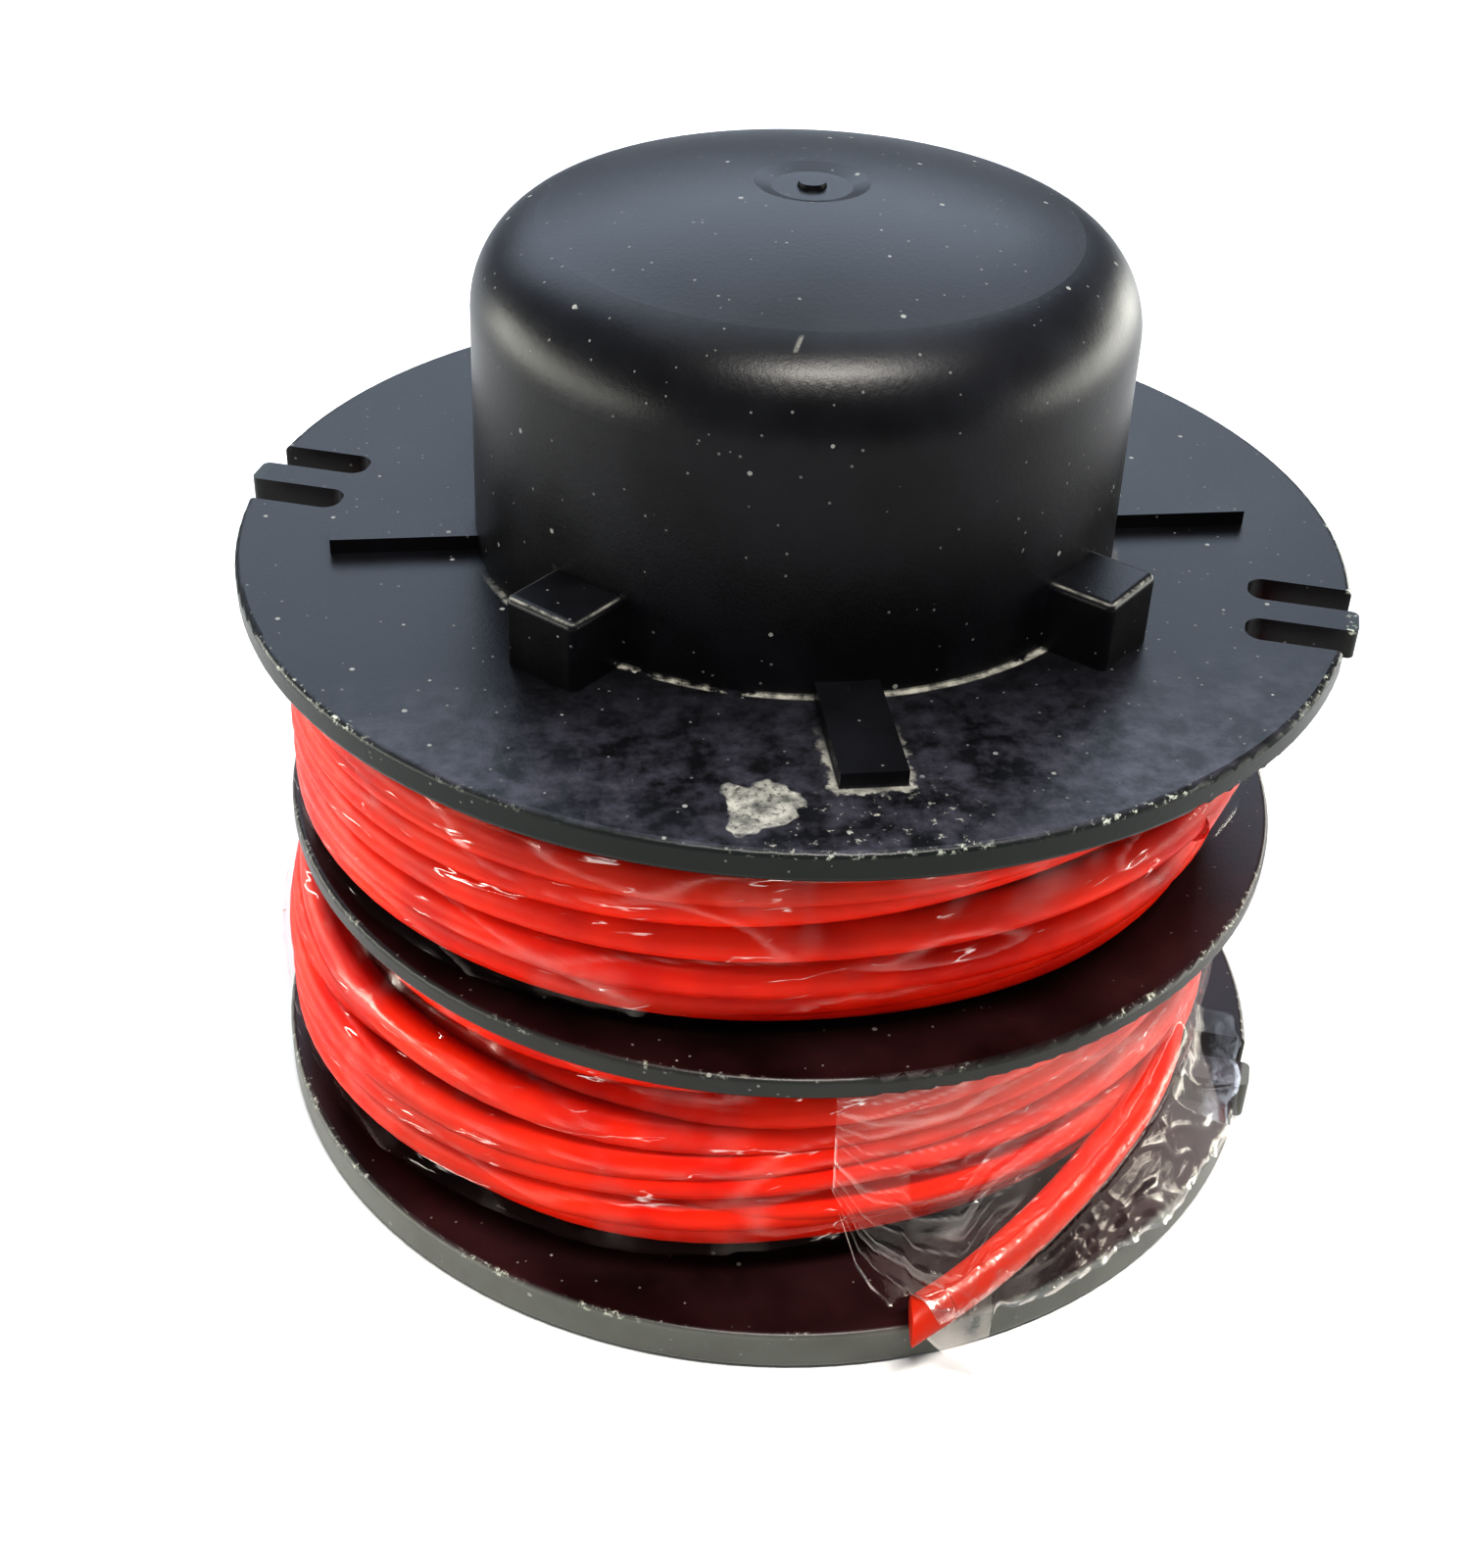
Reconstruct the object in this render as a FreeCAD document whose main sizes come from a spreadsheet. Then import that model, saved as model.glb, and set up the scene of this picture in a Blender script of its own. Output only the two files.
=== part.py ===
"""Two-chamber trimmer line spool with a bump knob, as a parametric FreeCAD document.

The spool stands on the flat underside of its bottom flange. The origin is on its axis at that
face, +Z is the axis and points to the bump knob, and +X runs along one of the four flat ribs.
All lengths are in millimetres.
"""
import FreeCAD, Part
import math
import os
import Sketcher

V = FreeCAD.Vector

SIZES = {
    # flanges
    "top_rim_radius": 44.0,
    "top_face_height": 50.0,
    "top_flange_thickness": 2.4,
    "middle_rim_radius": 41.4,
    "middle_face_height": 28.0,
    "middle_flange_thickness": 1.9,
    "bottom_rim_radius": 43.5,
    "bottom_flange_thickness": 3.6,
    "rim_round": 0.5,
    # bump knob
    "knob_radius": 25.35,
    "knob_draft": 0.25,
    "knob_wall": 2.4,
    "knob_round": 7.0,
    "crown_height": 28.4,
    "crown_sphere": 68.0,
    "roof_height": 24.4,
    "roof_flat_radius": 17.0,
    "shoulder_height": 20.5,
    "gate_radius": 4.3,
    "gate_floor_radius": 3.0,
    "gate_nub_radius": 1.0,
    "gate_depth": 0.5,
    # barrel tubes and the spigots that join the mouldings
    "barrel_radius": 24.0,
    "barrel_bore": 22.0,
    "spigot_radius": 21.9,
    "spigot_bore": 20.4,
    "spigot_depth": 6.0,
    "anchor_hole_radius": 1.8,
    "anchor_height": 4.0,
    # ribs and index lugs on the top flange
    "rib_width": 4.7,
    "rib_height": 1.2,
    "rib_end": 36.6,
    "lug_width": 6.5,
    "lug_height": 5.6,
    "lug_end": 30.4,
    "lug_round": 0.6,
    # line notches in the rims of the top and bottom flanges
    "slot_width": 3.2,
    "slot_start": 36.0,
    "slot_spacing": 6.2,
    "slot_round": 1.3,
    "tab_proud": 0.45,
    # line packs and film
    "line_diameter": 3.3,
    "pack_clearance": 0.2,
    "pack_foot_radius": 34.4,
    "pack_belly_radius": 37.6,
    "pack_shoulder_radius": 36.0,
    "film_gap": 0.15,
    "film_thickness": 0.3,
    "film_tear_angle": 86.0,
    "flap_lift": 1.2,
    "flap_top": 23.6,
    "flap_bend": 16.5,
    "flap_foot": 12.6,
    "flap_reach": 3.4,
    # spring, cup and bush inside the barrel
    "ring_height": 2.2,
    "ring_thickness": 1.2,
    "ring_groove_radius": 23.3,
    "ring_outer_radius": 23.2,
    "ring_inner_radius": 19.6,
    "ring_gap": 9.0,
    "fit_clearance": 0.05,
    "cup_height": 9.0,
    "cup_wall": 1.7,
    "cup_web_height": 3.6,
    "cup_web_thickness": 2.0,
    "cup_boss_radius": 10.6,
    "cup_boss_height": 11.0,
    "bush_radius": 8.0,
    "bush_bore": 4.05,
    "bush_flange_radius": 10.4,
    "bush_flange_thickness": 2.0,
    "bush_length": 16.0,
    "clip_thickness": 1.0,
    "clip_groove_radius": 7.2,
    "clip_radius": 9.6,
    "clip_gap": 6.0,
    "washer_radius": 16.6,
    "washer_bore": 10.9,
    "washer_thickness": 1.0,
    "seat_radius": 16.6,
    "seat_thickness": 0.9,
    "seat_rim_height": 2.4,
    "spring_radius": 13.2,
    "spring_wire_radius": 0.9,
}
SLOT_ANGLE = -20.0          # direction of the line notches about Z, degrees
TEAR_ANGLE = -94.0          # where the torn stretch of the lower film starts, degrees
RIB_COUNT = 4
LUG_ANGLE = 45.0            # the lugs stand midway between the ribs
SPRING_TURNS = 9.0
SPRING_END_TURNS = 1.25
# Free end of the lower line: centreline points from the pack to the cut tip.
TAIL_ROUTE = [V(29.6, -23.6, 13.6), V(25.4, -29.3, 11.2), V(20.2, -34.2, 9.2),
              V(14.6, -38.4, 7.3), V(9.2, -41.8, 6.0), V(4.6, -44.2, 5.3)]

doc = FreeCAD.newDocument("string_reel")
sheet = doc.addObject("Spreadsheet::Sheet", "Sizes")
for row, (alias, value) in enumerate(SIZES.items(), start=1):
    sheet.set("A%d" % row, alias)
    sheet.set("B%d" % row, str(value))
    sheet.setAlias("B%d" % row, alias)
doc.recompute()

FLAP_ANGLE = SIZES["film_tear_angle"]
subparts = []


def cell(text):
    """Expression text with each alias read from the sheet."""
    words = text.split(" ")
    return " ".join("Sizes." + word if word in SIZES else word for word in words)


def new_body(label):
    body = doc.addObject("PartDesign::Body", label)
    body.Label = label
    subparts.append(body)
    return body


def origin_plane(body, role):
    return next(f for f in body.Origin.OriginFeatures if f.Role == role)


def new_sketch(body, name, role="XY_Plane", height=None, turn=0.0):
    """Sketch on one of the body's origin planes, raised by a sheet expression and turned."""
    sketch = body.newObject("Sketcher::SketchObject", name)
    sketch.AttachmentSupport = [(origin_plane(body, role), "")]
    sketch.MapMode = "FlatFace"
    sketch.AttachmentOffset = FreeCAD.Placement(V(), FreeCAD.Rotation(V(0, 0, 1), turn))
    if height:
        sketch.setExpression("AttachmentOffset.Base.z", cell(height))
    return sketch


def pin_coordinate(sketch, kind, geometry, start, text):
    """Ties one coordinate of a line's start point to a sheet expression."""
    index = sketch.addConstraint(Sketcher.Constraint(kind, -1, 1, geometry, 1, start))
    sketch.setExpression("Constraints[%d]" % index, cell(text))


def add_outline(sketch, corners, crowned=None):
    """Closed outline; each corner is a pair of sheet expressions.

    The side that starts at corner number crowned is an arc with its centre on the vertical axis.
    The sketch solver moves the sides from a rough ring of points to their places.
    """
    count = len(corners)
    ring_centre = V(12, 12)
    ring = Part.Circle(ring_centre, V(0, 0, 1), 10)
    step = 2 * math.pi / count
    rough = [ring.value(step * i) for i in range(count)]
    first = sketch.GeometryCount
    for i in range(count):
        if i == crowned:
            arc = sketch.addGeometry(Part.ArcOfCircle(ring, step * i, step * (i + 1)), False)
            sketch.addConstraint(Sketcher.Constraint("PointOnObject", arc, 3, -2))
        else:
            sketch.addGeometry(Part.LineSegment(rough[i], rough[(i + 1) % count]), False)
    for i, (across, along) in enumerate(corners):
        after = first + (i + 1) % count
        sketch.addConstraint(Sketcher.Constraint("Coincident", first + i, 2, after, 1))
        pin_coordinate(sketch, "DistanceX", first + i, rough[i].x, across)
        pin_coordinate(sketch, "DistanceY", first + i, rough[i].y, along)


def add_circle(sketch, radius):
    index = sketch.addGeometry(Part.Circle(V(), V(0, 0, 1), 5.0), False)
    sketch.addConstraint(Sketcher.Constraint("Coincident", index, 3, -1, 1))
    size = sketch.addConstraint(Sketcher.Constraint("Radius", index, 5.0))
    sketch.setExpression("Constraints[%d]" % size, cell(radius))


def revolve(body, name, corners, angle=360.0, turn=0.0, crowned=None):
    """Revolution of a (radius, height) outline about Z, starting at azimuth turn."""
    sketch = new_sketch(body, name + "_profile", "XZ_Plane")
    add_outline(sketch, corners, crowned)
    feature = body.newObject("PartDesign::Revolution", name)
    feature.Profile = sketch
    feature.ReferenceAxis = (sketch, ["V_Axis"])
    feature.Angle = angle
    body.Placement = FreeCAD.Placement(V(), FreeCAD.Rotation(V(0, 0, 1), turn))
    doc.recompute()
    return feature


def pad(body, name, sketch, length):
    feature = body.newObject("PartDesign::Pad", name)
    feature.Profile = sketch
    feature.setExpression("Length", cell(length))
    doc.recompute()
    return feature


def pocket(body, name, sketch, length):
    """Pocket upwards from the sketch; the volume shows whether it cut."""
    before = body.Shape.Volume
    feature = body.newObject("PartDesign::Pocket", name)
    feature.Profile = sketch
    feature.Reversed = True
    feature.setExpression("Length", cell(length))
    doc.recompute()
    if body.Shape.Volume >= before:
        raise RuntimeError(name + " cuts nothing")
    return feature


def round_edges(body, name, radius, chosen):
    """Fillet on the edges of the body's tip that the test function accepts."""
    base = body.Tip
    names = ["Edge%d" % (i + 1) for i, edge in enumerate(base.Shape.Edges) if chosen(edge)]
    if not names:
        raise RuntimeError(name + " finds no edges")
    feature = body.newObject("PartDesign::Fillet", name)
    feature.Base = (base, names)
    feature.setExpression("Radius", cell(radius))
    doc.recompute()
    return feature


def is_ring(edge, radius, height):
    """Full circle about Z with this radius and height."""
    if edge.Degenerated or not isinstance(edge.Curve, Part.Circle):
        return False
    curve = edge.Curve
    full = edge.LastParameter - edge.FirstParameter > 6.28
    return full and abs(curve.Radius - radius) < 0.01 and abs(curve.Center.z - height) < 0.01


def is_upright(edge):
    """Straight edge parallel to Z."""
    if edge.Degenerated or not isinstance(edge.Curve, Part.Line):
        return False
    return abs(edge.tangentAt(edge.FirstParameter).z) > 0.999


def distance_from_axis(point):
    return math.hypot(point.x, point.y)


def turned(point, angle):
    """The point seen in axes turned by angle degrees about Z."""
    return FreeCAD.Rotation(V(0, 0, 1), -angle).multVec(point)


def add_line_notches(body, name, base_height, thickness, rim_radius):
    """Two pairs of rim notches, each pair with a slightly proud tab between them."""
    tab = new_sketch(body, name + "_tab_outline", height=base_height, turn=SLOT_ANGLE)
    inner = "slot_width / 2"
    outer = "slot_spacing - slot_width / 2"
    for side in ("", "0 - "):
        near = side + "( slot_start )"
        far = side + "( %s + tab_proud )" % rim_radius
        add_outline(tab, [(near, "0 - " + inner), (far, "0 - " + inner),
                          (far, "0 - ( %s )" % outer), (near, "0 - ( %s )" % outer)])
    pad(body, name + "_tabs", tab, thickness)
    reach = "%s + 3" % rim_radius
    notch = new_sketch(body, name + "_notch_outline", height=base_height, turn=SLOT_ANGLE)
    for side in ("", "0 - "):
        for offset in ("0", "slot_spacing"):
            near = side + "( slot_start )"
            far = side + "( %s )" % reach
            low = "0 - %s - slot_width / 2" % offset
            high = "0 - %s + slot_width / 2" % offset
            add_outline(notch, [(near, low), (far, low), (far, high), (near, high)])
    pocket(body, name + "_notches", notch, thickness)

    def at_notch_end(edge):
        place = turned(edge.CenterOfMass, SLOT_ANGLE)
        return is_upright(edge) and abs(abs(place.x) - SIZES["slot_start"]) < 0.05

    round_edges(body, name + "_notch_ends", "slot_round", at_notch_end)

    def at_tab_tip(edge):
        place = turned(edge.CenterOfMass, SLOT_ANGLE)
        tip = SIZES[rim_radius] + SIZES["tab_proud"]
        return is_upright(edge) and abs(abs(place.x) - tip) < 0.05

    round_edges(body, name + "_tab_tips", "lug_round", at_tab_tip)


def crown_level(radius):
    """Height of the knob's crown at this radius, as a sheet expression."""
    fall = "crown_sphere - sqrt( crown_sphere * crown_sphere - %s * %s )" % (radius, radius)
    return "top_face_height + crown_height - ( %s )" % fall


def make_knob_flange():
    """Closed bump knob, top flange and lower spigot, moulded in one piece."""
    body = new_body("knob_flange")
    crown = "top_face_height + crown_height"
    under = "top_face_height - top_flange_thickness"
    edge = "( knob_radius - knob_draft )"
    revolve(body, "knob_shell", [
        ("0", "top_face_height + roof_height"),
        ("roof_flat_radius", "top_face_height + roof_height"),
        ("knob_radius - knob_wall - knob_draft", "top_face_height + shoulder_height"),
        ("knob_radius - knob_wall", "top_face_height"),
        ("spigot_bore", "top_face_height - 1"),
        ("spigot_bore", under + " - spigot_depth"),
        ("spigot_radius", under + " - spigot_depth"),
        ("spigot_radius", under),
        ("top_rim_radius", under),
        ("top_rim_radius", "top_face_height"),
        ("knob_radius", "top_face_height"),
        (edge, crown_level(edge)),
        ("gate_radius", crown_level("gate_radius")),
        ("gate_floor_radius", crown + " - gate_depth"),
        ("gate_nub_radius + 0.1", crown + " - gate_depth"),
        ("gate_nub_radius", crown + " - gate_depth / 4"),
        ("0", crown + " - gate_depth / 4"),
    ], crowned=11)
    rim = SIZES["top_rim_radius"]
    face = SIZES["top_face_height"]
    low_face = face - SIZES["top_flange_thickness"]
    sphere = SIZES["crown_sphere"]
    edge_radius = SIZES["knob_radius"] - SIZES["knob_draft"]
    edge_height = face + SIZES["crown_height"] - sphere + math.sqrt(sphere ** 2 - edge_radius ** 2)
    round_edges(body, "knob_crown_round", "knob_round",
                lambda e: is_ring(e, edge_radius, edge_height))
    round_edges(body, "top_rim_round", "rim_round",
                lambda e: is_ring(e, rim, face) or is_ring(e, rim, low_face))

    rib = new_sketch(body, "rib_outline", height="top_face_height - 0.4")
    add_outline(rib, [("knob_radius - 1", "0 - rib_width / 2"), ("rib_end", "0 - rib_width / 2"),
                      ("rib_end", "rib_width / 2"), ("knob_radius - 1", "rib_width / 2")])
    rib_pad = pad(body, "rib", rib, "rib_height + 0.4")
    lug = new_sketch(body, "lug_outline", height="top_face_height - 0.4", turn=LUG_ANGLE)
    add_outline(lug, [("knob_radius - 1", "0 - lug_width / 2"), ("lug_end", "0 - lug_width / 2"),
                      ("lug_end", "lug_width / 2"), ("knob_radius - 1", "lug_width / 2")])
    lug_pad = pad(body, "lug", lug, "lug_height + 0.4")
    ring = body.newObject("PartDesign::PolarPattern", "ribs_and_lugs")
    ring.Originals = [rib_pad, lug_pad]
    ring.Axis = (rib, ["N_Axis"])
    ring.Angle = 360.0
    ring.Occurrences = RIB_COUNT
    body.Tip = ring
    doc.recompute()

    lug_top = face + SIZES["lug_height"]

    def on_lug(edge):
        place = edge.CenterOfMass
        outside = distance_from_axis(place) > SIZES["knob_radius"] + 0.5
        high = place.z > lug_top - 0.01
        corner = is_upright(edge) and distance_from_axis(place) > SIZES["lug_end"] - 0.2
        return outside and (high or (corner and place.z > face + SIZES["rib_height"] + 0.5))

    round_edges(body, "lug_rounds", "lug_round", on_lug)
    add_line_notches(body, "top", "top_face_height - top_flange_thickness",
                     "top_flange_thickness", "top_rim_radius")


def drill_anchor(body, name, height):
    """Radial hole through the barrel wall that holds the inner end of the line."""
    before = body.Shape.Volume
    sketch = new_sketch(body, name + "_outline", "XZ_Plane")
    index = sketch.addGeometry(Part.Circle(V(0, 10, 0), V(0, 0, 1), 2.0), False)
    sketch.addConstraint(Sketcher.Constraint("PointOnObject", index, 3, -2))
    level = sketch.addConstraint(Sketcher.Constraint("DistanceY", -1, 1, index, 3, 10.0))
    sketch.setExpression("Constraints[%d]" % level, cell(height))
    size = sketch.addConstraint(Sketcher.Constraint("Radius", index, 2.0))
    sketch.setExpression("Constraints[%d]" % size, cell("anchor_hole_radius"))
    feature = body.newObject("PartDesign::Pocket", name)
    feature.Profile = sketch
    feature.setExpression("Length", cell("barrel_radius + 1"))
    doc.recompute()
    if body.Shape.Volume >= before:
        raise RuntimeError(name + " cuts nothing")


def make_middle_flange():
    """Middle flange with the upper barrel tube and a spigot into the lower tube."""
    body = new_body("middle_flange")
    under = "middle_face_height - middle_flange_thickness"
    tube_top = "top_face_height - top_flange_thickness"
    revolve(body, "upper_barrel", [
        ("spigot_bore", under + " - spigot_depth"),
        ("spigot_radius", under + " - spigot_depth"),
        ("spigot_radius", under),
        ("middle_rim_radius", under),
        ("middle_rim_radius", "middle_face_height"),
        ("barrel_radius", "middle_face_height"),
        ("barrel_radius", tube_top),
        ("barrel_bore", tube_top),
        ("barrel_bore", "middle_face_height"),
        ("spigot_bore", under),
    ])
    rim = SIZES["middle_rim_radius"]
    face = SIZES["middle_face_height"]
    low_face = face - SIZES["middle_flange_thickness"]
    round_edges(body, "middle_rim_round", "rim_round",
                lambda e: is_ring(e, rim, face) or is_ring(e, rim, low_face))
    drill_anchor(body, "upper_anchor", "middle_face_height + anchor_height")


def make_bottom_flange():
    """Bottom flange with the lower barrel tube and the groove of the retaining ring."""
    body = new_body("bottom_flange")
    tube_top = "middle_face_height - middle_flange_thickness"
    ring_top = "ring_height + ring_thickness + fit_clearance"
    ring_low = "ring_height - fit_clearance"
    revolve(body, "lower_barrel", [
        ("barrel_bore + 0.8", "0"),
        ("bottom_rim_radius", "0"),
        ("bottom_rim_radius", "bottom_flange_thickness"),
        ("barrel_radius", "bottom_flange_thickness"),
        ("barrel_radius", tube_top),
        ("barrel_bore", tube_top),
        ("barrel_bore", ring_top),
        ("ring_groove_radius", ring_top),
        ("ring_groove_radius", ring_low),
        ("barrel_bore", ring_low),
        ("barrel_bore", "0.8"),
    ])
    rim = SIZES["bottom_rim_radius"]
    face = SIZES["bottom_flange_thickness"]
    round_edges(body, "bottom_rim_round", "rim_round",
                lambda e: is_ring(e, rim, face) or is_ring(e, rim, 0.0))
    drill_anchor(body, "lower_anchor", "bottom_flange_thickness + anchor_height")
    add_line_notches(body, "bottom", "0", "bottom_flange_thickness",
                     "bottom_rim_radius")


def make_split_ring(label, inner, outer, low, thickness, gap, ear):
    """Flat spring ring with a gap and two ears with plier holes beside it."""
    body = new_body(label)
    outline = new_sketch(body, label + "_outline", height=low)
    add_circle(outline, outer)
    add_circle(outline, inner)
    pad(body, label + "_plate", outline, thickness)
    opening = new_sketch(body, label + "_gap_outline", height=low)
    add_outline(opening, [("0 - %s / 2" % gap, "( %s ) / 2" % inner),
                          ("%s / 2" % gap, "( %s ) / 2" % inner),
                          ("%s / 2" % gap, "%s + 4" % outer), ("0 - %s / 2" % gap, "%s + 4" % outer)])
    pocket(body, label + "_gap", opening, thickness)
    start, end = ear
    ears = new_sketch(body, label + "_ear_outline", height=low)
    for side in ("", "0 - "):
        near = side + "( %s / 2 )" % gap
        far = side + "( %s / 2 + 4 )" % gap
        add_outline(ears, [(near, start), (far, start), (far, end), (near, end)])
    pad(body, label + "_ears", ears, thickness)
    return body


def make_feed_mechanism():
    """Retaining ring, spring cup, bush, clip, thrust washer and spring seat."""
    make_split_ring("retaining_ring", "ring_inner_radius", "ring_outer_radius", "ring_height",
                    "ring_thickness", "ring_gap", ("ring_inner_radius - 2.6", "ring_inner_radius + 1"))

    cup_low = "ring_height + ring_thickness + fit_clearance"
    web_low = cup_low + " + cup_web_height"
    web_top = web_low + " + cup_web_thickness"
    boss_low = cup_low + " + 1"
    boss_top = boss_low + " + cup_boss_height"
    cup_outer = "barrel_bore - fit_clearance"
    revolve(new_body("spring_cup"), "cup_shell", [
        (cup_outer, cup_low),
        (cup_outer, cup_low + " + cup_height"),
        (cup_outer + " - cup_wall", cup_low + " + cup_height"),
        (cup_outer + " - cup_wall", web_top),
        ("cup_boss_radius", web_top),
        ("cup_boss_radius", boss_top),
        ("bush_radius + fit_clearance", boss_top),
        ("bush_radius + fit_clearance", boss_low),
        ("cup_boss_radius", boss_low),
        ("cup_boss_radius", web_low),
        (cup_outer + " - cup_wall", web_low),
        (cup_outer + " - cup_wall", cup_low),
    ])
    revolve(new_body("thrust_washer"), "washer_plate", [
        ("washer_bore", web_top), ("washer_radius", web_top),
        ("washer_radius", web_top + " + washer_thickness"),
        ("washer_bore", web_top + " + washer_thickness"),
    ])
    bush_low = boss_low + " - bush_flange_thickness - fit_clearance"
    flange_top = boss_low + " - fit_clearance"
    groove_low = boss_top + " + fit_clearance"
    groove_top = groove_low + " + clip_thickness"
    bush = new_body("spindle_bush")
    revolve(bush, "bush_tube", [
        ("bush_bore + 0.6", bush_low),
        ("bush_flange_radius", bush_low),
        ("bush_flange_radius", flange_top),
        ("bush_radius", flange_top),
        ("bush_radius", groove_low),
        ("clip_groove_radius", groove_low),
        ("clip_groove_radius", groove_top),
        ("bush_radius", groove_top),
        ("bush_radius", bush_low + " + bush_length"),
        ("bush_bore", bush_low + " + bush_length"),
        ("bush_bore", bush_low + " + 0.6"),
    ])
    make_split_ring("bush_clip", "clip_groove_radius", "clip_radius", groove_low,
                    "clip_thickness", "clip_gap", ("clip_radius - 2.2", "clip_radius"))
    seat_top = "top_face_height + roof_height"
    revolve(new_body("spring_seat"), "seat_dish", [
        ("0", seat_top),
        ("seat_radius", seat_top),
        ("seat_radius", seat_top + " - seat_rim_height"),
        ("seat_radius - seat_thickness", seat_top + " - seat_rim_height"),
        ("seat_radius - seat_thickness", seat_top + " - seat_thickness"),
        ("0", seat_top + " - seat_thickness"),
    ])


def make_feed_spring():
    """Compression spring with close end turns, between the thrust washer and the seat."""
    wire = SIZES["spring_wire_radius"]
    cup_low = SIZES["ring_height"] + SIZES["ring_thickness"] + SIZES["fit_clearance"]
    low = cup_low + SIZES["cup_web_height"] + SIZES["cup_web_thickness"] + SIZES["washer_thickness"]
    high = SIZES["top_face_height"] + SIZES["roof_height"] - SIZES["seat_thickness"]
    end_rise = 2 * wire * 1.04 * SPRING_END_TURNS
    middle_rise = high - low - 2 * wire - 2 * end_rise
    stages = [(end_rise, SPRING_END_TURNS), (middle_rise, SPRING_TURNS), (end_rise, SPRING_END_TURNS)]
    points = []
    height = low + wire
    angle = 0.0
    steps_per_turn = 12
    for rise, turns in stages:
        steps = int(round(turns * steps_per_turn))
        for step in range(steps):
            points.append((angle + step / steps_per_turn, height + rise * step / steps))
        angle += turns
        height += rise
    points.append((angle, height))
    places = [V(SIZES["spring_radius"] * math.cos(2 * math.pi * turn),
                SIZES["spring_radius"] * math.sin(2 * math.pi * turn), level)
              for turn, level in points]
    curve = Part.BSplineCurve()
    curve.interpolate(Points=places)
    path = Part.Wire([curve.toShape()])
    start = curve.parameter(places[0])
    circle = Part.Circle(places[0], curve.tangent(start)[0], wire)
    section = Part.Wire([circle.toShape()])
    sweep = Part.BRepOffsetAPI.MakePipeShell(path)
    sweep.setFrenetMode(True)
    sweep.add(section)
    sweep.build()
    sweep.makeSolid()
    feature = doc.addObject("Part::Feature", "feed_spring")
    feature.Label = "feed_spring"
    feature.Shape = sweep.shape()
    feature.Placement = FreeCAD.Placement()
    subparts.append(feature)


def pack_corners(floor, roof, grow="0"):
    """Outline of a wound pack between two flanges, grown outwards for the film."""
    return [("pack_foot_radius + " + grow, floor),
            ("pack_belly_radius + " + grow, floor + " + 6"),
            ("pack_belly_radius + " + grow, roof + " - 7"),
            ("pack_shoulder_radius + " + grow, roof)]


def make_line_packs():
    """Closed outer shapes of the two wound lengths of line."""
    chambers = {
        "upper_winding": ("middle_face_height + pack_clearance",
                          "top_face_height - top_flange_thickness - pack_clearance"),
        "lower_winding": ("bottom_flange_thickness + pack_clearance",
                          "middle_face_height - middle_flange_thickness - pack_clearance"),
    }
    for label, (floor, roof) in chambers.items():
        bore = "barrel_radius + pack_clearance"
        outline = [(bore, floor)] + pack_corners(floor, roof) + [(bore, roof)]
        revolve(new_body(label), label + "_ring", outline)


def film_corners(floor, roof):
    """Thin closed outline of a film just outside the pack between floor and roof."""
    inner = pack_corners(floor, roof, "film_gap")
    outer = pack_corners(floor, roof, "film_gap + film_thickness")
    return inner + outer[::-1]


def make_films():
    """Clear film round each pack; the lower one is torn open at the front."""
    floor = "middle_face_height + pack_clearance"
    roof = "top_face_height - top_flange_thickness - pack_clearance"
    revolve(new_body("upper_film"), "upper_wrap", film_corners(floor, roof))
    floor = "bottom_flange_thickness + pack_clearance"
    roof = "middle_face_height - middle_flange_thickness - pack_clearance"
    whole = 360.0 - FLAP_ANGLE
    revolve(new_body("lower_film"), "lower_wrap", film_corners(floor, roof), whole,
            TEAR_ANGLE + FLAP_ANGLE)
    near = "pack_belly_radius + flap_lift"
    thick = " + film_thickness"
    revolve(new_body("film_flap"), "torn_flap", [
        (near, "flap_top"), (near, "flap_bend"), (near + " + flap_reach", "flap_foot"),
        (near + " + flap_reach" + thick, "flap_foot"), (near + thick, "flap_bend"),
        (near + thick, "flap_top"),
    ], FLAP_ANGLE, TEAR_ANGLE)


def rounded_route(points):
    """Straight runs joined by tangent arcs, each as large as its two runs allow."""
    edges = []
    radii = []
    start = points[0]
    for before, corner, after in zip(points, points[1:], points[2:]):
        back = (before - corner)
        ahead = (after - corner)
        half_turn = (math.pi - back.getAngle(ahead)) / 2
        setback = 0.45 * min(back.Length, ahead.Length)
        radii.append(setback / math.tan(half_turn))
        back.normalize()
        ahead.normalize()
        enter = corner + back * setback
        leave = corner + ahead * setback
        middle = back + ahead
        middle.normalize()
        depth = radii[-1] / math.cos(half_turn) - radii[-1]
        edges.append(Part.LineSegment(start, enter).toShape())
        edges.append(Part.Arc(enter, corner + middle * depth, leave).toShape())
        start = leave
    edges.append(Part.LineSegment(start, points[-1]).toShape())
    print("route radii", [round(radius, 1) for radius in radii])
    return Part.Wire(edges)


def make_line_tail():
    """Free end of the lower line, lying down over the bottom flange to its cut tip."""
    radius = SIZES["line_diameter"] / 2
    path = rounded_route(TAIL_ROUTE)
    circle = Part.Circle(TAIL_ROUTE[0], TAIL_ROUTE[1] - TAIL_ROUTE[0], radius)
    tube = path.makePipeShell([Part.Wire([circle.toShape()])], True, True)
    expected = math.pi * radius ** 2 * path.Length
    print("line tail length %.1f, volume %.1f of %.1f" % (path.Length, tube.Volume, expected))
    feature = doc.addObject("Part::Feature", "line_tail")
    feature.Label = "line_tail"
    feature.Shape = tube
    feature.Placement = FreeCAD.Placement()
    subparts.append(feature)


make_knob_flange()
make_middle_flange()
make_bottom_flange()
make_feed_mechanism()
make_feed_spring()
make_line_packs()
make_films()
make_line_tail()
doc.recompute()

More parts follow.
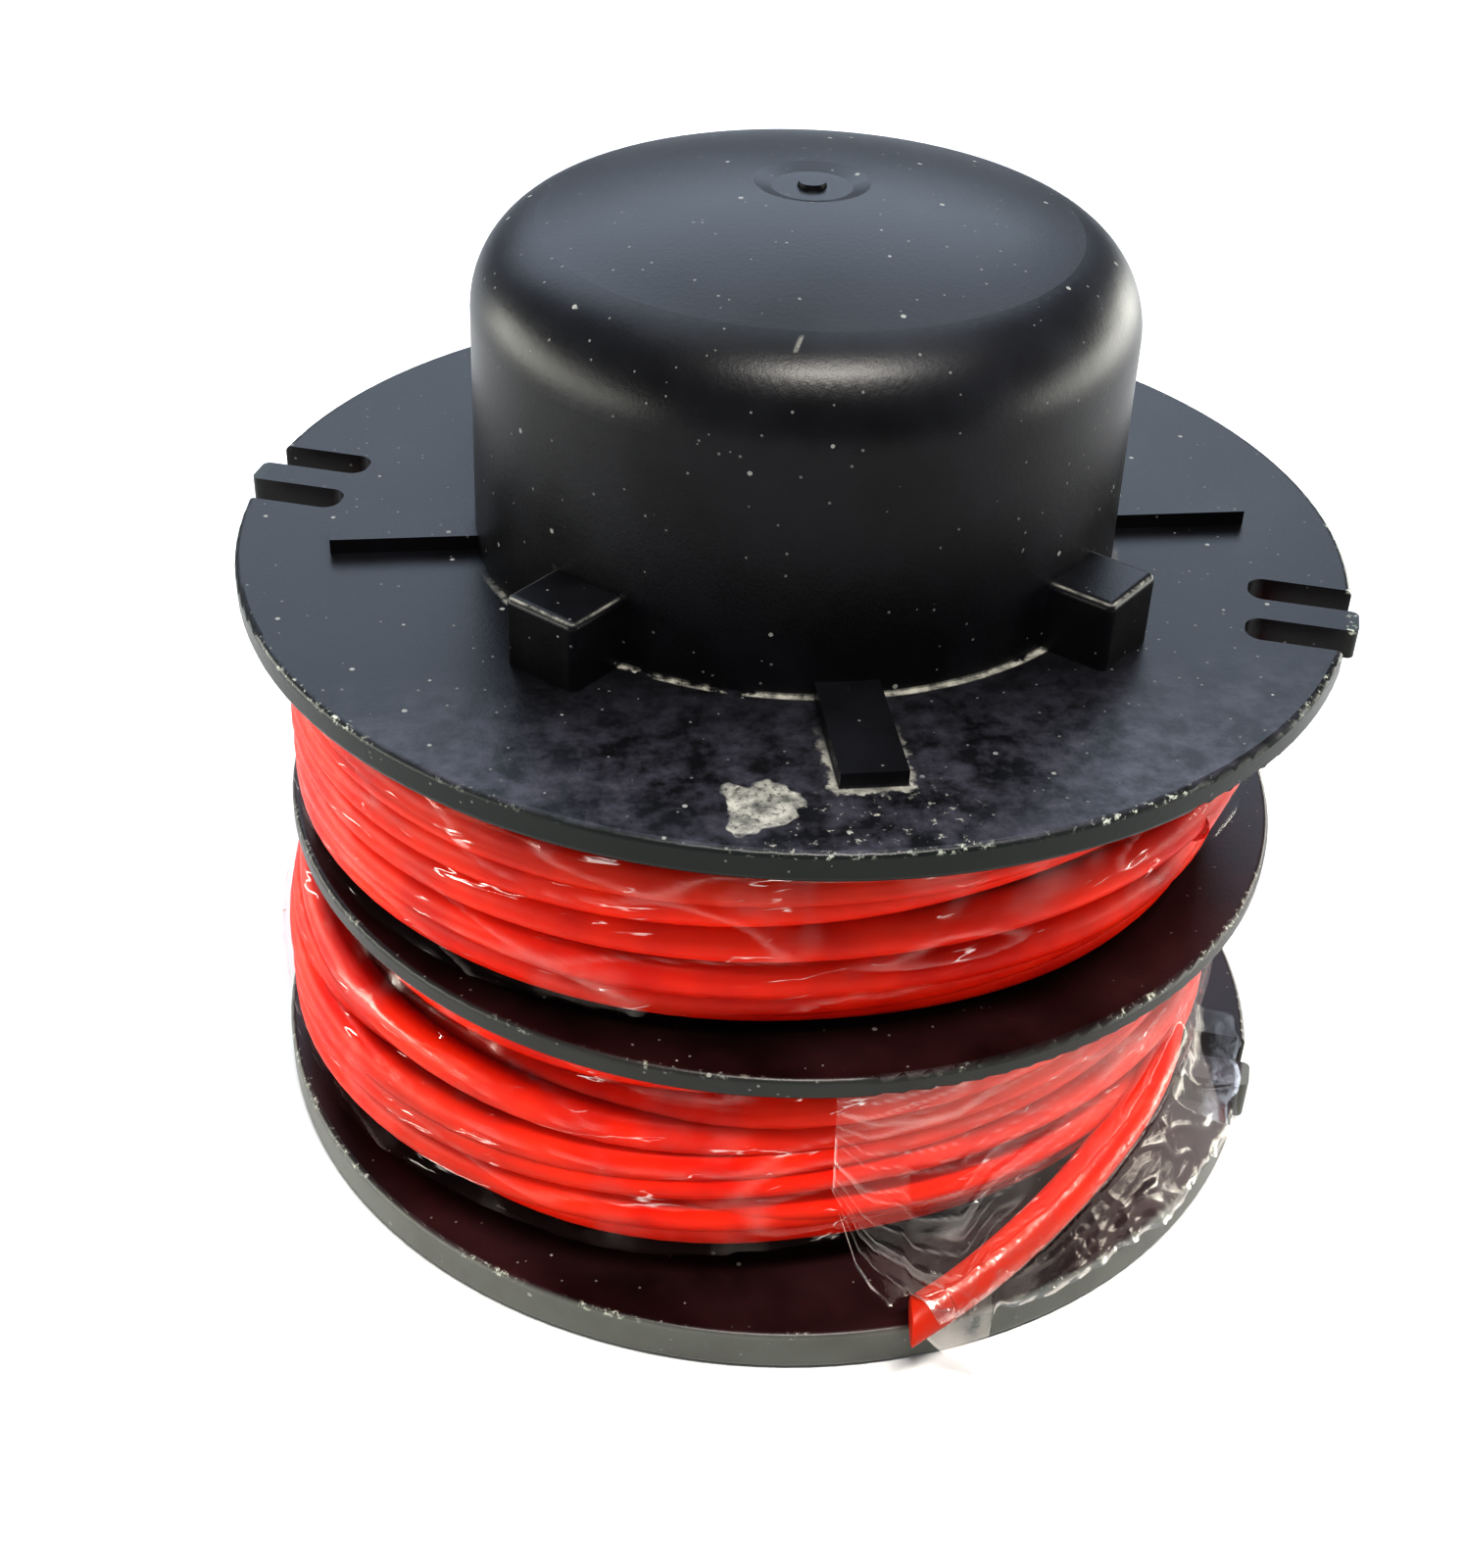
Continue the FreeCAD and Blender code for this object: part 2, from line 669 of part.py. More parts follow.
for item in doc.Objects:
    if "Invalid" in item.State or "Error" in item.State:
        raise RuntimeError("%s failed: %s" % (item.Name, item.State))
for subpart in subparts:
    shape = subpart.Shape
    if shape.isNull() or not shape.isValid() or not shape.Solids:
        raise RuntimeError(subpart.Label + " has no valid solid")

os.makedirs("parts", exist_ok=True)
for subpart in subparts:
    subpart.Shape.exportStep("parts/%s.step" % subpart.Label)
    box = subpart.Shape.BoundBox
    print("%-16s solids %d volume %9.1f z %.2f to %.2f r %.2f" % (
        subpart.Label, len(subpart.Shape.Solids), subpart.Shape.Volume, box.ZMin, box.ZMax, box.XMax))
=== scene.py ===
import math
import random

import bpy
import numpy as np
from mathutils import Matrix, Vector, noise


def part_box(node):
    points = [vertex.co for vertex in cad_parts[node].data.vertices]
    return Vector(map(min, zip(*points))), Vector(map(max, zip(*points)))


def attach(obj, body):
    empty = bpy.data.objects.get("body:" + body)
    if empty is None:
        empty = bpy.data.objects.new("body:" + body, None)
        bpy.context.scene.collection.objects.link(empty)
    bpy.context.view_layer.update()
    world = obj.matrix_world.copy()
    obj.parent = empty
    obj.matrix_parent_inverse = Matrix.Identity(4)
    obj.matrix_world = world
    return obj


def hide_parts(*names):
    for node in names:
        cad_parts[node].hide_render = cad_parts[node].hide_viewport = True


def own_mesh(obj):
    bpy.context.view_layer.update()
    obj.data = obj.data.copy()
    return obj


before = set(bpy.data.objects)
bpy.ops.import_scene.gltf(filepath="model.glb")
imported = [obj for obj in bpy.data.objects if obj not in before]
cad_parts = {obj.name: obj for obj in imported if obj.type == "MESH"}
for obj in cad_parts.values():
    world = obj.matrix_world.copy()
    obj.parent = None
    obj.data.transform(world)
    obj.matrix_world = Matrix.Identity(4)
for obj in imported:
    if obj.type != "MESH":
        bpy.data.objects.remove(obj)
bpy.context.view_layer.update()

MM = 0.001
SPOOL = "spool"

# Sizes are in millimetres unless a comment says otherwise.
LINE = 3.3                      # a stock line
LINE_R = LINE / 2
UPPER_LOW, UPPER_HIGH = (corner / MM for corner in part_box("upper_winding"))
LOWER_LOW, LOWER_HIGH = (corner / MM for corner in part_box("lower_winding"))
SOLID_GAP = 0.2                 # the frame's windings keep this far off the flanges
WIND_GAP = 0.05                 # the space in which the line is wound keeps this far off them
TOP_THICK = 2.4                 # thickness of the top flange
# Heights of the flanges' upper faces, radii of their rims, and radius of the barrel.
TOP_FACE = UPPER_HIGH.z + SOLID_GAP + TOP_THICK
MIDDLE_FACE = UPPER_LOW.z - SOLID_GAP
BOTTOM_FACE = LOWER_LOW.z - SOLID_GAP
TOP_RIM, MIDDLE_RIM, BOTTOM_RIM = 44.0, 41.4, 43.5
BARREL_R = 24.0
RIB_HALF, RIB_END = 2.35, 36.6  # half width and outer end of a rib
LUG_HALF, LUG_END, LUG_TOP = 3.25, 30.4, TOP_FACE + 5.6    # the same of a lug, and its top


# ---------------------------------------------------------------- camera, light, floor
CAMERA_AT = Vector((-27.0, -153.2, 133.7))
CAMERA_AHEAD = Vector((0.1207, 0.8090, -0.5753))
CAMERA_UP = Vector((0.0454, 0.5744, 0.8173))
SENSOR_WIDTH, LENS = 36.0, 50.15
NEAREST_SEEN = 0.005            # clipping distance, m

WORLD_COLOUR, WORLD_STRENGTH = (0.84, 0.91, 1.0), 0.30
FLOOR_GREY = 0.62
FLOOR_SIZE, FLOOR_DROP = 4.0, 0.0002        # m
LIGHTS_AIM = Vector((0, 0, 0.04))           # m

# Name, place and size in metres, power in watts, and colour of each area light.
LIGHTS = [("key", (0.03, -0.21, 0.52), (0.28, 0.06), 3.9, (1.0, 0.96, 0.90)),
          ("left_fill", (-0.42, 0.04, 0.065), (0.60, 0.12), 1.7, (1.0, 0.99, 0.90)),
          ("right_fill", (0.42, 0.08, 0.065), (0.60, 0.12), 1.6, (1.0, 0.99, 0.91)),
          ("overhead", (-0.02, 0.26, 0.85), (0.90, 0.45), 2.6, (0.84, 0.91, 1.0)),
          ("sky", (-0.05, 0.82, 0.70), (1.30, 0.70), 7.5, (0.74, 0.85, 1.0))]


def make_camera():
    data = bpy.data.cameras.new("photo_camera")
    camera = bpy.data.objects.new("photo_camera", data)
    bpy.context.scene.collection.objects.link(camera)
    ahead = CAMERA_AHEAD.normalized()
    right = ahead.cross(CAMERA_UP).normalized()
    turn = Matrix((right, right.cross(ahead), -ahead)).transposed()
    camera.matrix_world = Matrix.Translation(CAMERA_AT * MM) @ turn.to_4x4()
    data.sensor_width = SENSOR_WIDTH
    data.lens = LENS
    data.clip_start = NEAREST_SEEN
    bpy.context.scene.camera = camera


def add_area(name, place, size, power, colour):
    data = bpy.data.lights.new(name, "AREA")
    data.shape = "RECTANGLE"
    data.size, data.size_y = size
    data.energy = power
    data.color = colour
    light = bpy.data.objects.new(name, data)
    light.location = place
    light.rotation_euler = (LIGHTS_AIM - Vector(place)).to_track_quat("-Z", "Y").to_euler()
    bpy.context.scene.collection.objects.link(light)


def make_studio():
    world = bpy.data.worlds.new("studio")
    bpy.context.scene.world = world
    world.use_nodes = True
    back = world.node_tree.nodes["Background"]
    back.inputs["Color"].default_value = (*WORLD_COLOUR, 1)
    back.inputs["Strength"].default_value = WORLD_STRENGTH
    for row in LIGHTS:
        add_area(*row)
    bpy.ops.mesh.primitive_plane_add(size=FLOOR_SIZE, location=(0, 0, -FLOOR_DROP))
    floor = bpy.context.object
    floor.name = "floor"
    paint = new_material("pale_floor")
    shader = shader_of(paint)
    shader.inputs["Base Color"].default_value = (FLOOR_GREY, FLOOR_GREY, FLOOR_GREY, 1)
    shader.inputs["Roughness"].default_value = 0.9
    shader.inputs["Specular IOR Level"].default_value = 0.1
    floor.data.materials.append(paint)


# ---------------------------------------------------------------- material helpers
def new_material(name):
    material = bpy.data.materials.new(name)
    material.use_nodes = True
    return material


def shader_of(material):
    return material.node_tree.nodes["Principled BSDF"]


class Graph:
    """Short calls for building a node tree."""

    def __init__(self, material):
        self.tree = material.node_tree
        self.shader = shader_of(material)

    def node(self, kind, **settings):
        made = self.tree.nodes.new(kind)
        for key, value in settings.items():
            setattr(made, key, value)
        return made

    def link(self, source, target):
        self.tree.links.new(source, target)

    def put(self, value, target):
        if hasattr(value, "is_output"):
            self.link(value, target)
        else:
            target.default_value = value

    def math(self, operation, first, second=None, third=None, clamp=False):
        made = self.node("ShaderNodeMath", operation=operation, use_clamp=clamp)
        for index, value in enumerate((first, second, third)):
            if value is not None:
                self.put(value, made.inputs[index])
        return made.outputs[0]

    def noise(self, place, scale, detail=4.0, rough=0.55):
        made = self.node("ShaderNodeTexNoise")
        self.link(place, made.inputs["Vector"])
        made.inputs["Scale"].default_value = scale
        made.inputs["Detail"].default_value = detail
        made.inputs["Roughness"].default_value = rough
        return made.outputs["Fac"]

    def spots(self, place, scale, size):
        """1 inside small round spots, 0 outside."""
        made = self.node("ShaderNodeTexVoronoi")
        self.link(place, made.inputs["Vector"])
        made.inputs["Scale"].default_value = scale
        near = self.math("LESS_THAN", made.outputs["Distance"], size)
        picked = self.node("ShaderNodeSeparateColor")
        self.link(made.outputs["Color"], picked.inputs["Color"])
        return near, picked.outputs["Red"]

    def ramp(self, value, low, high):
        made = self.node("ShaderNodeMapRange")
        self.put(value, made.inputs["Value"])
        made.inputs["From Min"].default_value = low
        made.inputs["From Max"].default_value = high
        return made.outputs["Result"]

    def mix(self, factor, first, second):
        made = self.node("ShaderNodeMix", data_type="RGBA")
        self.put(factor, made.inputs["Factor"])
        for value, socket in ((first, made.inputs["A"]), (second, made.inputs["B"])):
            self.put(value if hasattr(value, "is_output") else (*value, 1.0), socket)
        return made.outputs["Result"]

    def bump(self, height, strength, distance):
        """Raises the surface with the height, by up to the distance in metres."""
        made = self.node("ShaderNodeBump")
        made.inputs["Strength"].default_value = strength
        made.inputs["Distance"].default_value = distance
        self.put(height, made.inputs["Height"])
        self.link(made.outputs["Normal"], self.shader.inputs["Normal"])

    def near(self, value, centre, half, soft):
        """1 where the value is within half of the centre, falling to 0 over the soft width."""
        gap = self.math("ABSOLUTE", self.math("SUBTRACT", value, centre))
        return self.math("SUBTRACT", 1.0, self.ramp(gap, half, half + soft))

    def product(self, *factors):
        total = factors[0]
        for factor in factors[1:]:
            total = self.math("MULTIPLY", total, factor)
        return total

    def largest(self, *values):
        total = values[0]
        for value in values[1:]:
            total = self.math("MAXIMUM", total, value)
        return total

    def length(self, first, second):
        """Length of the vector that has these two parts."""
        squares = [self.math("MULTIPLY", part, part) for part in (first, second)]
        return self.math("SQRT", self.math("ADD", *squares))

    def place(self):
        return self.node("ShaderNodeTexCoord").outputs["Object"]


def millimetres(graph):
    """Object position in millimetres: the vector, its parts and the distance from the axis."""
    scaled = graph.node("ShaderNodeVectorMath", operation="SCALE")
    graph.link(graph.place(), scaled.inputs[0])
    scaled.inputs["Scale"].default_value = 1 / MM
    parts = graph.node("ShaderNodeSeparateXYZ")
    graph.link(scaled.outputs[0], parts.inputs[0])
    x, y, z = parts.outputs
    return scaled.outputs[0], x, y, z, graph.length(x, y)


def specks(g, place):
    """Dust: a few coarse grains and many fine ones."""
    near, pick = g.spots(place, 0.55, 0.11)
    coarse = g.math("MULTIPLY", near, g.math("GREATER_THAN", pick, 0.84))
    fine_near, fine_pick = g.spots(place, 1.5, 0.17)
    fine = g.math("MULTIPLY", fine_near, g.math("GREATER_THAN", fine_pick, 0.90))
    return g.math("MAXIMUM", coarse, g.math("MULTIPLY", fine, 0.5))


def edge_wear(g, place, radius, z, rim_r, face_z):
    """Light flecks and flash along the upper corner of a rim."""
    corner = g.product(g.near(radius, rim_r, 0.30, 0.25), g.near(z, face_z, 0.25, 0.25))
    stretch = g.ramp(g.noise(place, 0.11, 2.0), 0.46, 0.60)
    chips = g.ramp(g.noise(place, 1.6, 4.0, 0.7), 0.55, 0.63)
    return g.product(corner, stretch, chips)


class Plastic:
    """Black moulded plastic of one flange, with dust, worn flecks on the rim's upper corner and a paler
    rim of painted sheen; further spots and painted highlights are added to it for the knob.
    """

    DUST_COLOUR, WORN_COLOUR = (0.36, 0.36, 0.34), (0.42, 0.44, 0.38)

    def __init__(self, name, dark, light, rim, rim_r, face_z):
        self.material = new_material(name)
        g = self.g = Graph(self.material)
        self.place, self.x, self.y, self.z, self.radius = millimetres(g)
        self.cloud = g.noise(self.place, 0.09, 3.0)
        colour = g.mix(g.ramp(self.cloud, 0.38, 0.68), dark, light)
        # Painted sheen: the outer face of the rim takes the paler rim colour, in patches.
        rim_sheen_patches = g.ramp(g.noise(self.place, 0.14), -0.5, 0.55)
        rim_sheen_mask = g.product(g.ramp(self.radius, rim_r - 0.35, rim_r - 0.05), rim_sheen_patches)
        colour = g.mix(g.math("MULTIPLY", rim_sheen_mask, 0.9), colour, rim)
        worn = edge_wear(g, self.place, self.radius, self.z, rim_r, face_z)
        dust = specks(g, self.place)
        colour = g.mix(g.math("MULTIPLY", dust, 0.5), colour, self.DUST_COLOUR)
        self.colour = g.mix(g.math("MULTIPLY", worn, 0.8), colour, self.WORN_COLOUR)
        self.raised_marks = g.math("MAXIMUM", dust, worn)

    def finish(self):
        """Links the colour, and makes the dust, wear, stains and painted highlights rougher and
        slightly raised.
        """
        g = self.g
        grain = g.noise(self.place, 2.6, 5.0, 0.7)
        g.link(self.colour, g.shader.inputs["Base Color"])
        rough = g.math("MULTIPLY_ADD", self.cloud, 0.16, 0.27)
        g.link(g.math("MULTIPLY_ADD", self.raised_marks, 0.35, rough, clamp=True), g.shader.inputs["Roughness"])
        g.shader.inputs["Specular IOR Level"].default_value = 0.26
        g.bump(g.math("MULTIPLY_ADD", self.raised_marks, 0.8, grain), 0.16, 0.00012)
        return self.material


BLOT_X, BLOT_Y = -7.9, -38.1        # a dried blot left of the front rib
SPLASH_X = -1.5                     # fine splashes in front of the rib
FOOT_HIGHLIGHT_R = 25.55                 # where the knob's wall meets the flange; a painted highlight line runs round it
SCRATCH_X, SCRATCH_Y = -4.0, -20.9  # a small scratch on the front of the crown
SCRATCH_Z = (66.0, 67.0)            # heights between which it fades out


def dried_blot(p):
    """A ragged round patch that has dried on the flange."""
    g = p.g
    across = g.math("MULTIPLY", g.math("SUBTRACT", p.x, BLOT_X), 0.42)
    along = g.math("MULTIPLY", g.math("SUBTRACT", p.y, BLOT_Y), 0.30)
    lobes = g.math("MULTIPLY_ADD", g.noise(p.place, 0.28, 2.0), 2.6, g.length(across, along))
    return g.product(g.ramp(lobes, 2.32, 2.22), g.ramp(g.noise(p.place, 1.9, 3.0, 0.7), 0.28, 0.50))


def rib_deposit(p):
    """Dirt gathered round the outer end of the front rib."""
    g = p.g
    side = g.math("MAXIMUM", g.math("SUBTRACT", g.math("ABSOLUTE", p.x), RIB_HALF), 0.0)
    end = g.math("MAXIMUM", g.math("SUBTRACT", -RIB_END, p.y), 0.0)
    away = g.length(side, end)
    ring = g.ramp(g.math("MULTIPLY_ADD", g.noise(p.place, 0.9, 4.0, 0.6), 2.6, away), 2.05, 1.7)
    return g.product(ring, g.ramp(p.y, -29.0, -33.5), g.ramp(away, 0.0, 0.15))


def splashes(p):
    """Fine dots between the front rib and the rim."""
    g = p.g
    fine = g.ramp(g.noise(p.place, 1.1, 5.0, 0.7), 0.60, 0.64)
    return g.product(fine, g.near(p.x, SPLASH_X, 6.0, 3.0), g.ramp(p.y, -36.0, -39.0))


def lug_edge_highlights(p, ragged):
    """Painted highlights: light lines along the edges round the tops of the lugs."""
    g = p.g
    x, y = g.math("ABSOLUTE", p.x), g.math("ABSOLUTE", p.y)
    tangent = g.math("MULTIPLY", g.math("SUBTRACT", x, y), math.sqrt(0.5))
    radial = g.math("MULTIPLY", g.math("ADD", x, y), math.sqrt(0.5))
    end = g.product(g.near(radial, LUG_END, 0.20, 0.14), g.near(tangent, 0.0, LUG_HALF, 0.1))
    outline = g.math("MAXIMUM", g.near(g.math("ABSOLUTE", tangent), LUG_HALF, 0.18, 0.14), end)
    return g.product(outline, g.near(p.z, LUG_TOP, 0.12, 0.15), g.ramp(radial, 25.0, 26.0),
                     g.ramp(ragged, 0.36, 0.50))


def crown_scratch(p):
    """A short light scratch that leans across the crown."""
    g = p.g
    across = g.math("MULTIPLY", g.math("SUBTRACT", p.x, SCRATCH_X), 0.9)
    along = g.math("MULTIPLY", g.math("SUBTRACT", p.y, SCRATCH_Y), -0.45)
    return g.product(g.near(g.math("ADD", across, along), 0.0, 0.08, 0.12),
                     g.near(p.y, SCRATCH_Y, 0.35, 0.3), g.near(p.x, SCRATCH_X, 0.6, 0.3),
                     g.ramp(p.z, *SCRATCH_Z))


def knob_plastic():
    """Knob and top flange: paler bluish patches on the front of the face, a dried blot and deposit
    round the front rib, and painted highlights round the lug tops and the knob's foot.
    """
    p = Plastic("knob_plastic", (0.0035, 0.0034, 0.0042), (0.0095, 0.0098, 0.0125),
                # the last colour is the rim's painted sheen
                (0.012, 0.015, 0.013), TOP_RIM, TOP_FACE)
    g = p.g
    ragged = g.noise(p.place, 0.55, 5.0, 0.65)
    on_face = g.near(p.z, TOP_FACE, 0.05, 0.2)
    # Painted highlight: a ragged light line round the knob's foot, on the front side only.
    foot = g.product(g.near(p.radius, FOOT_HIGHLIGHT_R, 0.22, 0.2), g.ramp(ragged, 0.42, 0.55),
                     g.ramp(p.y, -4.0, -14.0))
    face_marks_and_highlight = g.largest(dried_blot(p), rib_deposit(p), splashes(p), foot)
    marks_and_highlights = g.largest(g.math("MULTIPLY", face_marks_and_highlight, on_face), lug_edge_highlights(p, ragged), crown_scratch(p))
    patches = g.ramp(g.noise(p.place, 0.7, 3.0), 0.35, 0.65)
    mark_and_highlight_colour = g.mix(patches, (0.10, 0.10, 0.09), (0.36, 0.35, 0.31))
    # Paler bluish patches over the front part of the top face.
    front_patch_noise = g.ramp(g.noise(p.place, 0.45, 5.0, 0.65), 0.40, 0.66)
    front_patches = g.product(on_face, g.ramp(p.y, -20.0, -34.0), front_patch_noise)
    colour = g.mix(g.math("MULTIPLY", front_patches, 0.8), p.colour, (0.046, 0.044, 0.056))
    # The blot, deposit, splashes and scratch, and the painted highlights of the lugs and the foot, take
    # this pale colour.
    p.colour = g.mix(g.math("MULTIPLY", marks_and_highlights, 0.75), colour, mark_and_highlight_colour)
    p.raised_marks = g.math("MAXIMUM", p.raised_marks, marks_and_highlights)
    return p.finish()


def flange_plastic(name, rim, rim_r, face_z):
    """Middle or bottom flange: black tinted red as painted bounce light from the red line, with a paler
    rim of painted sheen.
    """
    # The red tint of both colours is painted bounce light from the red line.
    return Plastic(name, (0.0070, 0.0026, 0.0030), (0.026, 0.010, 0.011), rim, rim_r, face_z).finish()


def red_line():
    """Red nylon; the free end of the lower line is dusty and dull."""
    material = new_material("red_nylon")
    g = Graph(material)
    place, _, y, _, radius = millimetres(g)
    cloud = g.noise(place, 0.12, 3.0)
    streak = g.noise(place, 0.9, 4.0)
    colour = g.mix(g.ramp(cloud, 0.35, 0.65), (0.66, 0.024, 0.002), (0.45, 0.008, 0.001))
    dull = g.product(g.ramp(radius, 39.5, 42.5), g.ramp(y, -20.0, -26.0), 0.75)
    colour = g.mix(dull, colour, (0.30, 0.030, 0.012))
    g.link(colour, g.shader.inputs["Base Color"])
    g.link(g.math("MULTIPLY_ADD", streak, 0.16, 0.32), g.shader.inputs["Roughness"])
    g.shader.inputs["Specular IOR Level"].default_value = 0.16
    g.shader.inputs["Subsurface Weight"].default_value = 0.30
    g.shader.inputs["Subsurface Radius"].default_value = (1.0, 0.03, 0.01)
    g.shader.inputs["Subsurface Scale"].default_value = 0.0016
    g.bump(streak, 0.10, 0.0002)
    return material


FILM_R = 39.0                   # radius of the films, near enough for their creases
CREASE_HAZE = 0.42              # how much a crease reflects


def film_creases(g, x, y, z, spread):
    """Thin creases that run round the wrap at a slight slant, in scattered patches."""
    arc = g.math("MULTIPLY", g.math("ARCTAN2", y, x), FILM_R)
    slanted = g.node("ShaderNodeCombineXYZ")
    g.link(g.math("MULTIPLY_ADD", z, 0.05, g.math("MULTIPLY", arc, 0.09)), slanted.inputs[0])
    g.link(g.math("MULTIPLY_ADD", arc, -0.07, g.math("MULTIPLY", z, 0.48)), slanted.inputs[1])
    wave = g.noise(slanted.outputs[0], 1.0, 3.0, 0.5)
    line = g.ramp(g.math("ABSOLUTE", g.math("SUBTRACT", wave, 0.5)), 0.016, 0.004)
    patch = g.ramp(g.noise(slanted.outputs[0], 1.7, 2.0), 1 - spread, 1 - spread + 0.05)
    return g.product(line, patch, CREASE_HAZE)


def clear_film(name, haze_low, haze_fold, milk, spread):
    """Thin film: it reflects a little everywhere, and more where it is folded or stands off."""
    material = new_material(name)
    g = Graph(material)
    place, x, y, z, _ = millimetres(g)
    crease = g.noise(place, 0.35, 6.0, 0.6)
    fold = g.node("ShaderNodeAttribute", attribute_name="fold").outputs["Fac"]
    lines = film_creases(g, x, y, z, spread)
    g.shader.inputs["Base Color"].default_value = (0.98, 0.93, 0.88, 1)
    g.shader.inputs["Metallic"].default_value = 1.0
    rough = g.math("MULTIPLY_ADD", crease, 0.20, 0.12)
    g.link(g.math("MULTIPLY_ADD", fold, -0.16, rough, clamp=True), g.shader.inputs["Roughness"])
    cloudy = g.math("MULTIPLY_ADD", g.ramp(g.noise(place, 0.13, 3.0), 0.55, 0.72), milk, haze_low)
    folded = g.math("MULTIPLY_ADD", fold, haze_fold, cloudy)
    g.link(g.math("ADD", folded, lines, clamp=True), g.shader.inputs["Alpha"])
    g.bump(g.math("ADD", crease, lines), 0.4, 0.0004)
    return material


def metal(name, colour, dark, roughness, scale):
    """Plain metal with a fine drawn or turned grain and dull patches."""
    material = new_material(name)
    g = Graph(material)
    place = millimetres(g)[0]
    patch = g.noise(place, scale, 4.0)
    grain = g.noise(place, 6.0, 3.0, 0.8)
    g.link(g.mix(g.ramp(patch, 0.40, 0.70), colour, dark), g.shader.inputs["Base Color"])
    g.shader.inputs["Metallic"].default_value = 1.0
    g.link(g.math("MULTIPLY_ADD", grain, 0.22, roughness), g.shader.inputs["Roughness"])
    g.bump(grain, 0.15, 0.0001)
    return material


def grey_nylon():
    """Plain moulded nylon of the spring cup."""
    material = new_material("grey_nylon")
    g = Graph(material)
    place = millimetres(g)[0]
    cloud = g.noise(place, 0.2, 4.0)
    g.link(g.mix(cloud, (0.16, 0.17, 0.17), (0.24, 0.25, 0.24)), g.shader.inputs["Base Color"])
    g.link(g.math("MULTIPLY_ADD", cloud, 0.2, 0.4), g.shader.inputs["Roughness"])
    g.shader.inputs["Subsurface Weight"].default_value = 0.1
    g.shader.inputs["Subsurface Scale"].default_value = 0.001
    g.bump(g.noise(place, 2.4, 4.0), 0.2, 0.0001)
    return material


# ---------------------------------------------------------------- wound line
STEPS = 72                      # columns round the spool
CELL = 0.5                      # height of a cell of the winding's surface
LEFT = math.radians(182.0)      # side on which the packs bulge
END_GAP = 0.1                   # least gap between a turn and the end of its space
OUTER_FROM = 0.60               # share of the winding after which turns count as outer ones
FOOT_RISE = 5.0                 # how far the outer turns keep off the lower flange
LEAN = 2.6                      # how far they lean down towards the bulging side
TILT = (1.0, 3.0)               # how far an unruly turn wanders up and down
NEAT_TILT = 0.1                 # share of that which a neat turn wanders
PHASE_STEP = (0.3, 1.7)         # how far the wandering shifts from turn to turn, radians
NEAT_PITCH = 1.04               # rise of a neat turn, in line diameters
LOOSE_PITCH = (1.15, 1.75)      # rise of an unruly one
END_TURNS = 0.7                 # turns in which the line comes to its last height
BRIDGE = 7                      # columns to either side over which the stiff line bridges dips
BRIDGE_SPREAD = 3.0             # spread of their weights, in columns
SINK = 0.35                     # how far the line may press into the turns below it

# Number of columns laid, neat inner turns, seed of the unruly turns, bulge at the left and the
# height at which the winding ends.
UPPER_WINDING = {"steps": 24 * STEPS + 30, "neat": 14, "seed": 2, "bulge": 2.4, "last_level": 38.0}
LOWER_WINDING = {"steps": 25 * STEPS + 20, "neat": 14, "seed": 22, "bulge": 3.4, "last_level": 17.0}

# Outsides of the packs: a radius, and how much more it is at the left.
UPPER_FOOT, UPPER_WIDEST = (35.2, 4.6), (38.9, 2.0)
LOWER_FOOT, LOWER_WIDEST = (34.4, 6.6), (38.4, 1.4)
FLANK = 0.45                    # growth of the radius with height, over the foot
BELLY = 3.0                     # further bulge of the lower pack, clear of the middle flange
BELLY_TOP, BELLY_FADE = 23.5, 6.0


class Pack:
    """Outer surface of the line wound so far: a radius for each column and height cell."""

    def __init__(self, low, high):
        self.low = low
        self.cells = int((high - low) / CELL) + 1
        self.radius = np.full((STEPS, self.cells), BARREL_R)
        self.levels = low + CELL * np.arange(self.cells)

    def rise(self, level):
        """Height of a strand's surface over its centre, cell by cell."""
        gap = np.abs(self.levels - level)
        return np.where(gap < LINE_R, np.sqrt(np.maximum(LINE_R ** 2 - gap ** 2, 0.0)), -1.0)

    def support(self, column, level):
        rise = self.rise(level)
        touched = rise >= 0
        return float(np.max(self.radius[column % STEPS][touched] + rise[touched]))

    def lay(self, column, level, radius):
        rise = self.rise(level)
        touched = rise >= 0
        row = self.radius[column % STEPS]
        row[touched] = np.maximum(row[touched], radius + rise[touched])


def smoothstep(share):
    return share * share * (3 - 2 * share)


def outer_share(done):
    """How far into the outer turns the winding is, 0 to 1, when this share of it is laid."""
    return min(1.0, max(0.0, (done - OUTER_FROM) / (1 - OUTER_FROM)))


def left_share(angle):
    """1 at the bulging side, falling to 0 a quarter turn away."""
    return max(0.0, math.cos(angle - LEFT))


def chamber(low, high):
    """Heights of the space in which a line is wound."""
    margin = SOLID_GAP - WIND_GAP
    return round(low.z - margin, 2), round(high.z + margin, 2)


def eased(values, turn):
    """Value at a fractional turn, eased between the turns' own values."""
    index = int(turn)
    share = smoothstep(turn - index)
    return values[index] * (1 - share) + values[index + 1] * share


def column_angle(column):
    """The line is wound clockwise, seen from above, from the anchor hole at the back."""
    return math.radians(90.0) - 2 * math.pi * column / STEPS


